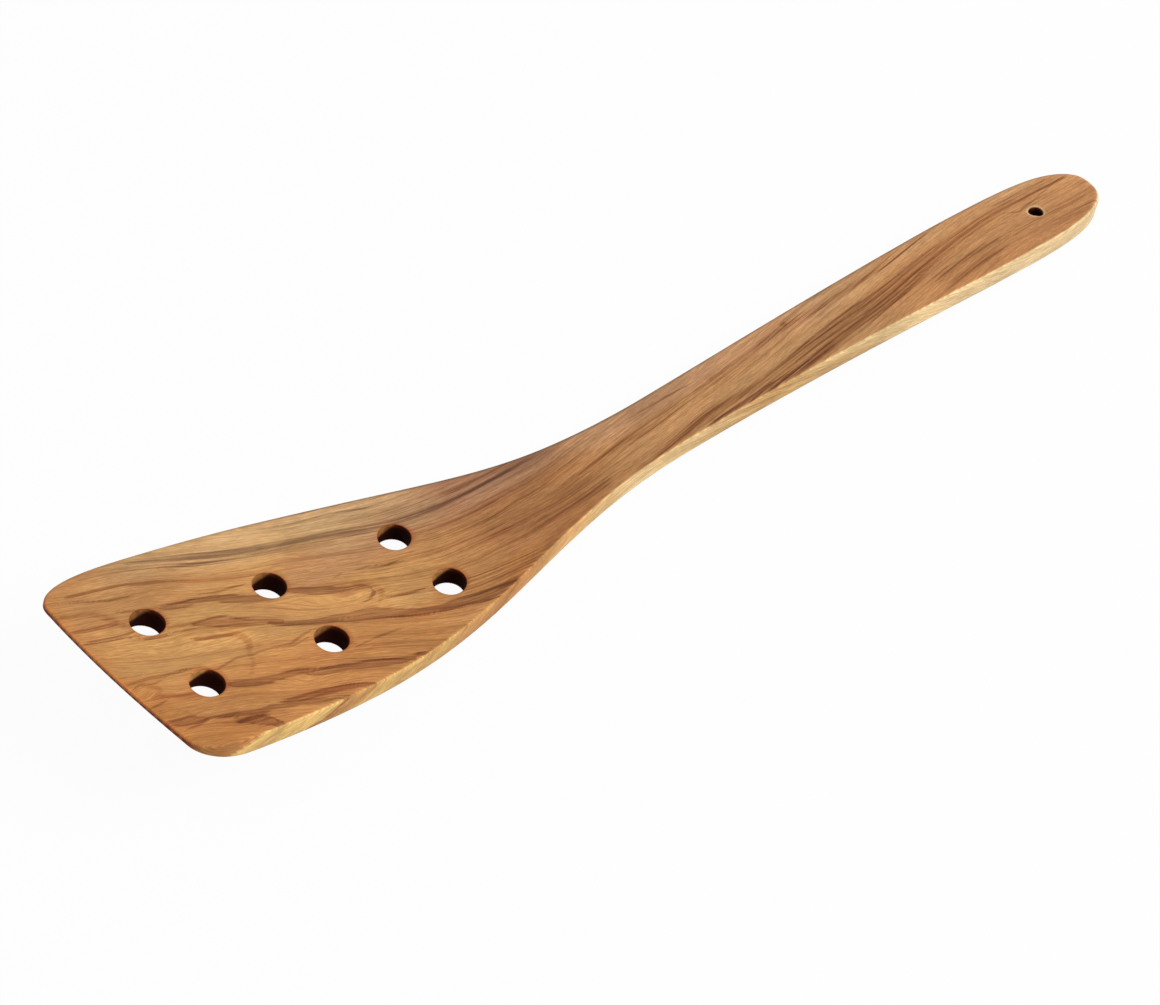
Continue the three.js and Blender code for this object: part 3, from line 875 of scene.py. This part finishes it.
half_here = np.interp(behind, *side_curve.T)
near_wall = soft_step(-over, 0.03, 0.25) * soft_step(-across, half_here - 1.2, half_here - 0.4)
near_wall *= soft_step(-over - 0.5 * (NEAR_SIDE_FROM - behind), -0.4, 0.4)
top_side = 1 - near_wall
past_line = behind - np.interp(-over, DARK_LINE_DEPTH, DARK_LINE_AT)
orange_side = np.interp(past_line, ORANGE_PAST, ORANGE_SHARE)
low_streak = between(behind, 184, 196, 206, 222) * soft_step(-over, 1.2, 2.4)
side_cream = np.interp(behind, SIDE_CREAM_AT, SIDE_CREAM_SHARE)
front_points = front_curve[np.abs(front_curve[:, 1]) < WIDEST_HALF - 1][None]
front_gap = np.full(len(board), np.inf)
in_front = np.flatnonzero(behind < FRONT_REACH)
front_gap[in_front] = np.linalg.norm(board[in_front, None, :2] - front_points, axis=2).min(axis=1)
print("points on the near side face:", int((near_wall > 0.5).sum()))

# %% Zones laid over each other
pale_from = np.interp(behind, (25, 45), (17, 12))
brown_neck = np.interp(behind, (72, 90, 102, 126, 148, 175), (0, 0.6, 1, 0.95, 0.5, 0)) * top_side
far_handle = np.interp(behind, (126, 142, 165, 190, 208, 220), (0, 0.9, 0.9, 0.5, 0.5, 0.15))
zones = (
    (TAN, 0.9 * soft_step(across, 6, 14) * soft_drop(behind, 15, 55)),
    (PALE, soft_step(across, pale_from, pale_from + 8) * between(behind, 3, 26, 98, 118)),
    (AMBER, 0.95 * soft_drop(across, -13, -3) * soft_drop(behind, 70, 95) * top_side),
    (TOAST, 0.5 * soft_drop(across, -25, -19) * soft_drop(behind, 14, 30) * top_side),
    (AMBER, 0.7 * soft_drop(front_gap, 0.8, 5)),
    (TOAST, 0.4 * soft_drop(across, -7, -2) * soft_drop(behind, 3, 13) * top_side),
    (FLESH, 0.75 * between(behind, 46, 56, 76, 92) * between(across, 1, 6, 12, 17)),
    (HEART, brown_neck),
    (DUSKY, brown_neck * soft_step(across, 2, 9)),
    (CREAM, 0.2 * between(behind, 56, 70, 88, 100) * soft_step(across, 5, 12)),
    (HONEY, 0.8 * between(behind, 62, 70, 79, 86) * between(across, -13, -9, -6, -3)),
    (AMBER, 0.7 * between(behind, 93, 101, 106, 113) * soft_drop(across, -12, -9.5) * top_side),
    (RED_BROWN_AND_BORE_SHADE, 0.12 * between(behind, 106, 112, 122, 130) * soft_drop(across, -7, -5) * top_side),
    (WHEAT, soft_step(behind, 122, 150) * top_side),
    (DRIFT, soft_step(across, 1, 5) * far_handle),
    (ROSY, soft_step(behind, 205, 245) * soft_drop(across, -5, 1) * top_side),
    (ROSY, 0.6 * soft_step(behind, 214, 232) * between(across, -4, 0, 5, 8)),
    (STRAW, near_wall),
    (AMBER, orange_side * near_wall),
    (CREAM, side_cream * near_wall),
    (AMBER, 0.35 * low_streak * near_wall),
)
ground = np.tile(HONEY, (len(board), 1))
for tone, share in zones:
    ground += share[:, None] * (tone - ground)
print("mean ground colour:", np.round(ground.mean(axis=0), 3).tolist())

# %% How clear and how wavy the lines are
line_strength = np.interp(behind, (45, 80, 125, 160), (0.15, 0.65, 0.7, 0.35))
line_strength += near_wall * (0.2 - line_strength)
layer_strength = np.interp(behind, (45, 85, 125, 160), (0.34, 0.9, 0.9, 0.7)) * (1 - 0.5 * near_wall)
bundle_strength = np.interp(behind, (5, 30, 120, 160), (0.4, 0.55, 0.6, 0.4)) * (1 - 0.5 * near_wall)
blotch_strength = np.interp(behind, (0, 12, 100, 140), (0.3, 0.6, 0.6, 0.4)) * (1 - 0.6 * near_wall)
waviness = 0.5 + 0.6 * soft_drop(behind, 60, 105)
streak_strength = 1 - 0.7 * near_wall
print("line strength from", line_strength.min(), "to", line_strength.max())

# %% [markdown]
# ## Edges and holes
# The lower half of the thin front edge is painted dark red-brown as shade, an orange band runs along that
# edge, and the rounding of the far edge is painted darker as shade. The walls of the holes are painted nearly
# black as shade, lighter and redder near the rim on one side, and a reddish ring lies round the drain holes'
# rims, stronger on that side as painted shade. A crescent of lit wood is painted on each drain hole's wall
# where light falls in.
# The rim of the hanging hole is painted pale as a highlight.

# %% Painted shade on the edges, an orange front band, and the distances to the hole walls
clear_of_corners = soft_step(WIDEST_HALF - np.abs(across), 1.5, 6)
# Painted shade: the lower half of the thin front edge is darkened to a dark red-brown.
front_edge_shade = soft_drop(front_gap, 0.05, 0.3) * soft_step(-over, 0.42, 0.62) * clear_of_corners
toasted = soft_drop(front_gap, 0.1, 0.9) * clear_of_corners
from_rim = np.clip(half_here - across, 0, None)
# Painted shade: the rounding along the far edge is darkened.
far_edge_shade = soft_drop(from_rim, 0.4, 1.3) * soft_step(over, -3, -1)
far_edge_shade *= np.interp(behind, (25, 50, 70, 130, 170, 298), (0, 0.5, 0.9, 0.9, 0.5, 0.4))


def hole_gap(centre, radius, uneven):
    """How far outside a hole's wall each point lies, and its direction from the hole as an angle."""
    spoke = board[:, :2] - centre
    angle = np.arctan2(spoke[:, 1], spoke[:, 0])
    return np.linalg.norm(spoke, axis=1) - radius * out_of_round(angle, uneven), angle


measured = [hole_gap(centre, radius, uneven) for centre, radius, rim, uneven in holes]
gaps, angles = np.moveaxis(measured, 1, 0)
nearest_hole, wall_gap = gaps.argmin(axis=0), gaps.min(axis=0)
wall_angle = np.take_along_axis(angles, nearest_hole[None], 0)[0]
print("points on hole walls:", int((wall_gap < 0.01).sum()))

# %% Painted lit crescents and shaded hole walls, reddish rims, and the pale hanging rim
LIT_TOWARDS, LIT_DEPTH, LIT_SPREAD = np.radians(108), 2.4, 1.6
LIT_SHARES = np.array([0.35, 0.5, 0.45, 1.0, 0.4, 0.8, 0.0])
RED_SIDE_TOWARDS = np.radians(5)
# Painted light: on each drain hole's wall, a crescent on the side facing the lamp is coloured as lit wood,
# reaching deepest in its middle.
turned = np.abs((wall_angle - LIT_TOWARDS + np.pi) % (2 * np.pi) - np.pi)
lit_crescent = LIT_DEPTH * np.cos(np.minimum(LIT_SPREAD * turned, np.pi)) + over
lit_wall_share = LIT_SHARES[nearest_hole]
lit_crescent = np.where(nearest_hole == len(holes) - 1, -LIT_DEPTH, lit_crescent)
red_side = soft_step(np.cos(wall_angle - RED_SIDE_TOWARDS), -0.3, 0.7)
# Painted shade: the hole walls turn nearly black, except where the lit crescent is painted.
bore_shade = soft_drop(wall_gap, 0.02, 0.14) * (1 - lit_wall_share * soft_step(lit_crescent, -0.2, 0.4))
# Partly painted shade: a reddish ring round each drain hole, stronger on the side that lies in shade.
red_rim_and_shade = soft_drop(gaps[:-1].min(axis=0), 0.1, 0.7) * (0.45 + 0.55 * red_side)
# Painted shade: near the rim on one side the hole wall is lighter and redder than deeper down.
red_bore_shade = red_side * soft_step(over, -1.6, -0.2)
# Painted highlight: the rim of the hanging hole is made pale.
hanging_rim_highlight = soft_drop(gaps[-1], 0.3, 0.75)
print("scorched points:", int((front_edge_shade > 0.5).sum()), "bore points:", int((bore_shade > 0.5).sum()))

# %% Storing the fields on the mesh


def store(name, values, kind="FLOAT"):
    """One value, or one triple, per point of the mesh."""
    attribute = mesh.attributes.new(name, kind, "POINT")
    values = np.ascontiguousarray(values, np.float32).ravel()
    attribute.data.foreach_set("value" if kind == "FLOAT" else "vector", values)


store("grain", np.stack([behind, layer, over], axis=1), "FLOAT_VECTOR")
store("ground", ground, "FLOAT_VECTOR")
fields = dict(
    dark_streak=dark_streak, fine_line=fine_line, rosy_band=rosy_band, rust_band=rust_band,
    blush_band=blush_band, rose_streak=rose_streak, rose_band=rose_band, plum_band=plum_band,
    plum_streak=plum_streak, pale_streak=pale_streak, streak_strength=streak_strength,
    line_strength=line_strength, layer_strength=layer_strength, bundle_strength=bundle_strength,
    blotch_strength=blotch_strength, waviness=waviness, near_wall=near_wall, past_line=past_line,
    front_edge_shade=front_edge_shade, toasted=toasted, far_edge_shade=far_edge_shade, bore_shade=bore_shade, lit_crescent=lit_crescent, lit_wall_share=lit_wall_share,
    red_bore_shade=red_bore_shade, red_rim_and_shade=red_rim_and_shade, hanging_rim_highlight=hanging_rim_highlight,
)
for name, values in fields.items():
    store(name, values)
print("fields stored:", ", ".join(fields))

# %% [markdown]
# ## The oiled finish
# Noises that are stretched along the grain make the layers, the lines and the fine pores.
# Each mask then darkens or lightens the ground colour by the tint of its streak or edge.
# A streak is not painted as it was stored: the lines are added to it first, and only what rises above
# a level gets its tint. So a strong streak is solid, and a weak one falls apart into lines, as in grown wood.

# %% Wiring helpers
DEPTH_SHARE, NOISE_RANGE = 0.15, (0.32, 0.68)


def new_finish(name):
    """A material whose nodes the helpers below add to."""
    material = bpy.data.materials.new(name)
    material.use_nodes = True
    return material, material.node_tree


wood, tree = new_finish("olive_wood")


def plug(socket, value):
    """Links an output to a socket, or writes a plain value into it."""
    if isinstance(value, bpy.types.NodeSocket):
        tree.links.new(value, socket)
    else:
        socket.default_value = value


def field(name, output="Fac"):
    """Reads a stored field of the mesh."""
    node = tree.nodes.new("ShaderNodeAttribute")
    node.attribute_name = name
    return node.outputs[output]


def maths(operation, first, second=0.0):
    """One sum, product or the like of two numbers."""
    node = tree.nodes.new("ShaderNodeMath")
    node.operation = operation
    plug(node.inputs[0], first)
    plug(node.inputs[1], second)
    return node.outputs[0]


def times(first, second):
    """The product of two numbers."""
    return maths("MULTIPLY", first, second)


def vector_maths(operation, first, second):
    """The same for two triples, each part with its own."""
    node = tree.nodes.new("ShaderNodeVectorMath")
    node.operation = operation
    plug(node.inputs[0], first)
    plug(node.inputs[1], second)
    return node.outputs[0]


def ramp(value, low, high, to_low=0.0, to_high=1.0):
    """A smooth step from one level to another."""
    node = tree.nodes.new("ShaderNodeMapRange")
    node.interpolation_type = "SMOOTHSTEP"
    levels = {"Value": value, "From Min": low, "From Max": high, "To Min": to_low, "To Max": to_high}
    for name, entry in levels.items():
        plug(node.inputs[name], entry)
    return node.outputs["Result"]


def towards(amount, colour, goal, blend="MIX"):
    """Leads a colour towards another by a share, or with MULTIPLY tints it by that share."""
    node = tree.nodes.new("ShaderNodeMix")
    node.data_type = "RGBA"
    node.blend_type = blend
    plug(node.inputs["Factor"], amount)
    for socket, entry in ((node.inputs[6], colour), (node.inputs[7], goal)):
        plug(socket, entry if isinstance(entry, bpy.types.NodeSocket) else (*entry, 1.0))
    return node.outputs[2]


def stretched_noise(place, along, aside, detail):
    """Noise from 0 to 1 whose patches are this many millimetres long along the grain and wide across it.
    It changes slowly with depth, so that the sides of the board show the layers as clear lines."""
    node = tree.nodes.new("ShaderNodeTexNoise")
    plug(node.inputs["Vector"], vector_maths("MULTIPLY", place, (1 / along, 1 / aside, DEPTH_SHARE / aside)))
    node.inputs["Scale"].default_value = 1
    node.inputs["Detail"].default_value = detail
    return ramp(node.outputs["Fac"], *NOISE_RANGE)


print("helpers ready for", wood.name)

# %% Layers, lines and pores
grain = field("grain", "Vector")
sway = times(maths("SUBTRACT", stretched_noise(grain, 26, 8, 1), 0.5), field("waviness"))
shift = tree.nodes.new("ShaderNodeCombineXYZ")
plug(shift.inputs["Y"], sway)
wavy = vector_maths("ADD", grain, shift.outputs[0])
layers = stretched_noise(wavy, 70, 3.2, 2)
lines = stretched_noise(wavy, 45, 0.65, 4)
fibres = stretched_noise(wavy, 7, 0.3, 2)
pores = stretched_noise(wavy, 2.5, 0.2, 2)
clouds = stretched_noise(grain, 28, 9, 2)
centred_lines = maths("SUBTRACT", maths("ADD", times(lines, 0.7), times(fibres, 0.3)), 0.5)
print("noises wired:", len(tree.nodes), "nodes")

# %% The growth of the wood over its ground colour
LAYER_TINT, LINE_TINT, GLEAM_TINT = (0.8, 0.75, 0.71), (0.64, 0.56, 0.5), (1.16, 1.2, 1.24)
BUNDLE_TINT, BLOTCH_TINT = (0.68, 0.56, 0.52), (0.9, 0.83, 0.85)
colour = field("ground", "Color")
blotches = ramp(stretched_noise(wavy, 34, 4.5, 3), 0.3, 1.0)
thin_lines = ramp(stretched_noise(wavy, 60, 0.55, 2), 0.72, 0.95)
bundles = times(thin_lines, ramp(stretched_noise(grain, 40, 5, 1), 0.35, 0.8))
shown_layers = maths("ADD", times(maths("SUBTRACT", layers, 0.5), field("layer_strength")), 0.5)
for amount, tint in (
    (shown_layers, LAYER_TINT),
    (times(blotches, field("blotch_strength")), BLOTCH_TINT),
    (times(field("line_strength"), ramp(lines, 0.5, 1.0, 0.0, 0.6)), LINE_TINT),
    (times(field("line_strength"), ramp(lines, 0.5, 0.0, 0.0, 0.5)), GLEAM_TINT),
    (times(bundles, field("bundle_strength")), BUNDLE_TINT),
):
    colour = towards(amount, colour, tint, "MULTIPLY")
print("growth nodes:", len(tree.nodes))

# %% Streaks, broken up by the lines
LEAST_STREAKY, BORDER_BREAKING = 0.6, 0.7


def broken(name, breaking):
    """A stored streak or band with the lines added to it."""
    return maths("ADD", field(name), times(centred_lines, breaking))


def grown(name, breaking, low, high, most):
    """A streak's share of colour: its stored strength, broken up by the lines."""
    streaky = ramp(centred_lines, -0.35, 0.3, LEAST_STREAKY * most, most)
    return times(times(ramp(broken(name, breaking), low, high), streaky), field("streak_strength"))


def bordered(name, breaking):
    """The darker line just inside a band's border: there at the border, and gone half a millimetre in."""
    from_border = broken(name, breaking)
    line = times(ramp(from_border, -0.15, 0.1), ramp(from_border, 0.1, 0.6, 0.8, 0.0))
    return times(line, field("streak_strength"))


print("helpers ready for streaks and bands")

# %% Tinting the streaks and bands
PALE_TINT, ROSE_TINT, PLUM_TINT = (1.1, 1.18, 1.28), (0.74, 0.65, 0.58), (0.62, 0.59, 0.62)
BLUSH_TINT, RUST_TINT, ROSY_TINT = (0.84, 0.7, 0.72), (0.72, 0.56, 0.48), (0.56, 0.45, 0.46)
DARK_TINT, FINE_TINT, BORDER_TINT = (0.58, 0.48, 0.42), (0.56, 0.45, 0.38), (0.7, 0.61, 0.57)
for name, tint, breaking, low, high, most in (
    ("pale_streak", PALE_TINT, -0.5, 0.1, 0.9, 1.0),
    ("rose_streak", ROSE_TINT, 0.4, 0.05, 0.8, 0.95),
    ("rose_band", ROSE_TINT, 1.2, -0.7, 0.6, 0.85),
    ("blush_band", BLUSH_TINT, 0.7, -0.25, 0.4, 0.9),
    ("rust_band", RUST_TINT, 0.7, -0.5, 0.6, 0.9),
    ("rosy_band", ROSY_TINT, 0.8, -0.3, 0.4, 0.85),
    ("plum_band", PLUM_TINT, 0.7, -0.4, 0.4, 0.95),
    ("plum_streak", PLUM_TINT, 0.45, 0.1, 0.85, 1.0),
    ("dark_streak", DARK_TINT, 1.1, 0.2, 0.95, 1.0),
    ("fine_line", FINE_TINT, 0.14, -0.16, 0.2, 0.85),
):
    colour = towards(grown(name, breaking, low, high, most), colour, tint, "MULTIPLY")
for name in ("rosy_band", "blush_band"):
    colour = towards(bordered(name, BORDER_BREAKING), colour, BORDER_TINT, "MULTIPLY")
banded = field("rosy_band")
for name in ("blush_band", "rose_band", "plum_band"):
    banded = maths("MAXIMUM", banded, field(name))
strands = ramp(stretched_noise(wavy, 50, 0.42, 2), 0.5, 0.95, 0.0, 0.75)
strands = times(times(strands, ramp(banded, -1.2, 0.1)), field("streak_strength"))
colour = towards(strands, colour, BORDER_TINT, "MULTIPLY")
print("streak nodes:", len(tree.nodes))

# %% Edges, rims and fine texture
# Some of these tones are painted shade or highlight: the far edge's and the front edge's shade, the black of
# the hole walls, the partly shaded reddish rim and the pale highlight on the hanging hole's rim.
FAR_EDGE_SHADE_TONE, RIM_RED_AND_SHADE, BORE_SHADE_BLACK, SINGED = shade(112, 86, 64), shade(170, 84, 36), shade(40, 11, 6), shade(222, 128, 62)
UMBER, FRONT_EDGE_SHADE_TONE, RIM_HIGHLIGHT = shade(148, 84, 40), shade(104, 30, 14), shade(214, 184, 136)
from_dark_line = maths("ABSOLUTE", broken("past_line", 1.2))
side_line = ramp(from_dark_line, 0.3, 1.0, 0.75, 0.0)
colour = towards(times(side_line, field("near_wall")), colour, UMBER)
# In this loop the far edge and the lower front edge are darkened as painted shade, the reddish rim is partly
# painted shade, and the pale rim of the hanging hole is a painted highlight.
for name, most, tone in (
    ("far_edge_shade", 0.85, FAR_EDGE_SHADE_TONE),
    ("red_rim_and_shade", 0.6, RIM_RED_AND_SHADE),
    ("hanging_rim_highlight", 0.75, RIM_HIGHLIGHT),
    ("toasted", 0.45, SINGED),
    ("front_edge_shade", 0.95, FRONT_EDGE_SHADE_TONE),
):
    colour = towards(times(field(name), most), colour, tone)
# Painted shade in the holes: nearly black walls, lighter and redder near the rim on one side.
colour = towards(field("bore_shade"), colour, towards(field("red_bore_shade"), BORE_SHADE_BLACK, RED_BROWN_AND_BORE_SHADE))
for noise, darkest, lightest in ((clouds, 0.9, 1.1), (fibres, 0.88, 1.09), (pores, 0.86, 1.1)):
    colour = towards(1.0, colour, ramp(noise, 0.0, 1.0, darkest, lightest), "MULTIPLY")
shader = tree.nodes["Principled BSDF"]
plug(shader.inputs["Base Color"], colour)
print("nodes in the finish:", len(tree.nodes))

# %% Sheen and relief
plug(shader.inputs["Roughness"], ramp(lines, 0.0, 1.0, 0.48, 0.6))
shader.inputs["Specular IOR Level"].default_value = 0.12
relief = tree.nodes.new("ShaderNodeBump")
relief.inputs["Strength"].default_value = 0.25
relief.inputs["Distance"].default_value = 0.0002
plug(relief.inputs["Height"], maths("ADD", lines, pores))
plug(shader.inputs["Normal"], relief.outputs["Normal"])
mesh.materials.append(wood)
print("wood finished")

# %% [markdown]
# ## Painted shade on the hole walls
# The walls of the holes get a finish of their own, with almost no sheen.
# Its colour is painted shade: nearly black, lighter and redder towards the rim on one side,
# with a crescent of lit wood painted where light falls in.

# %% The finish of the hole walls
bore_finish, tree = new_finish("bore_shade_finish")
# Painted light on the hole walls: a half-lit brown, then lit wood colour, fill the crescent where light falls
# in.
HALF_LIT_WOOD, LIT_WOOD = shade(104, 60, 30), shade(204, 142, 80)
wall_noise = stretched_noise(field("grain", "Vector"), 1.5, 1.5, 2)
# The wall's colour is painted shade: nearly black, lighter and redder near the rim on one side.
wall_colour = towards(field("red_bore_shade"), BORE_SHADE_BLACK, RED_BROWN_AND_BORE_SHADE)
wall_colour = towards(ramp(field("lit_crescent"), -1.0, 0.3), wall_colour, HALF_LIT_WOOD)
lit_wood_share = times(ramp(field("lit_crescent"), -0.4, 0.6), field("lit_wall_share"))
wall_colour = towards(lit_wood_share, wall_colour, LIT_WOOD)
wall_colour = towards(1.0, wall_colour, ramp(wall_noise, 0.0, 1.0, 0.75, 1.15), "MULTIPLY")
bore_shader = tree.nodes["Principled BSDF"]
plug(bore_shader.inputs["Base Color"], wall_colour)
plug(bore_shader.inputs["Roughness"], ramp(wall_noise, 0.0, 1.0, 0.8, 0.95))
bore_shader.inputs["Specular IOR Level"].default_value = 0.04
mesh.materials.append(bore_finish)
mesh.polygons.foreach_set("material_index", hole_wall.astype(np.int32))
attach(turner, "root")
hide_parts("spatula")
print("charred faces:", int(hole_wall.sum()))

# %% [markdown]
# ## The floor
# A white sheet of paper carries the turner. Lit paper alone would come out grey beside bright wood,
# so for rays that come straight from the eye or a mirror, a share of the paper glows plain white.
# The other share is still lit, and so the soft shadow under the turner stays.

# %% A sheet of white paper
FLOOR_REACH, GLOW_SHARE = 3, 0.96
corners = [(-1, -1, 0), (1, -1, 0), (1, 1, 0), (-1, 1, 0)]
floor_mesh = bpy.data.meshes.new("floor")
floor_mesh.from_pydata(np.multiply(corners, FLOOR_REACH), [], [(0, 1, 2, 3)])
floor = put("floor", floor_mesh)
paper, tree = new_finish("white_paper")


def seen_directly():
    """1 for rays from the camera, a mirror or glass, and 0 for rays that only carry light."""
    path = tree.nodes.new("ShaderNodeLightPath")
    mirrored = maths("MAXIMUM", path.outputs["Is Glossy Ray"], path.outputs["Is Transmission Ray"])
    return maths("MAXIMUM", path.outputs["Is Camera Ray"], mirrored)


matt = tree.nodes["Principled BSDF"]
matt.inputs["Base Color"].default_value = (0.7, 0.7, 0.7, 1)
matt.inputs["Roughness"].default_value = 0.9
glow = tree.nodes.new("ShaderNodeEmission")
blend = tree.nodes.new("ShaderNodeMixShader")
plug(blend.inputs["Fac"], times(seen_directly(), GLOW_SHARE))
plug(blend.inputs[1], matt.outputs[0])
plug(blend.inputs[2], glow.outputs[0])
plug(tree.nodes["Material Output"].inputs["Surface"], blend.outputs[0])
floor_mesh.materials.append(paper)
print("floor:", 2 * FLOOR_REACH, "m wide")

# %% [markdown]
# ## The camera
# The turner is seen from its front left and from above, with a long lens.
# A camera can be placed by hand, but a few plain numbers are easier to check: where it aims,
# how far off it stands, and the two angles it looks along. A small roll levels the picture.

# %% Aiming the camera
FOCAL_PIXELS, PHOTO_WIDTH, SENSOR = 2500, 1160, 36
AIM = Vector((-0.02275, -0.00417, 0))
DISTANCE = 0.59792
AZIMUTH, ELEVATION, ROLL = np.radians((38.817, 51.948, 2.70))
level = Vector((np.sin(AZIMUTH), np.cos(AZIMUTH), 0))
looking = level * np.cos(ELEVATION) - Vector((0, 0, np.sin(ELEVATION)))
right = looking.cross(Vector((0, 0, 1))).normalized()
up = right.cross(looking)
right, up = right * np.cos(ROLL) + up * np.sin(ROLL), up * np.cos(ROLL) - right * np.sin(ROLL)
camera_data = bpy.data.cameras.new("camera")
camera_data.sensor_fit = "HORIZONTAL"
camera_data.sensor_width = SENSOR
camera_data.lens = FOCAL_PIXELS * SENSOR / PHOTO_WIDTH
camera = put("camera", camera_data)
facing = Matrix((right, up, -looking)).transposed().to_4x4()
camera.matrix_world = Matrix.Translation(AIM - DISTANCE * looking) @ facing
bpy.context.scene.camera = camera
print("camera at", np.round(camera.matrix_world.translation, 3).tolist())

# %% [markdown]
# ## The light
# One large soft lamp stands to the right of the blade, so that the upper left walls of the holes catch light
# and the others stay dark. An even white surround fills the shadows. Both are kept at a plain level,
# at which a colour comes out about as it was written.

# %% A soft lamp and a white surround
LAMP_SIZE, LAMP_WATTS, SURROUND = 1.0, 38, 0.46
LAMP_AT = Vector((1.1, -1.0, 1.4))
bpy.context.scene.view_settings.view_transform = "Standard"
lamp_data = bpy.data.lights.new("soft_lamp", "AREA")
lamp_data.size = LAMP_SIZE
lamp_data.energy = LAMP_WATTS
lamp = put("soft_lamp", lamp_data)
towards_centre = LAMP_AT.to_track_quat("Z", "Y").to_matrix().to_4x4()
lamp.matrix_world = Matrix.Translation(LAMP_AT) @ towards_centre
world = bpy.data.worlds.new("studio")
world.use_nodes = True
tree = world.node_tree
sky = tree.nodes["Background"]
sky.inputs["Color"].default_value = (1, 1, 1, 1)
plug(sky.inputs["Strength"], maths("ADD", times(seen_directly(), 1 - SURROUND), SURROUND))
bpy.context.scene.world = world
print("lamp", LAMP_WATTS, "W, surround", SURROUND)
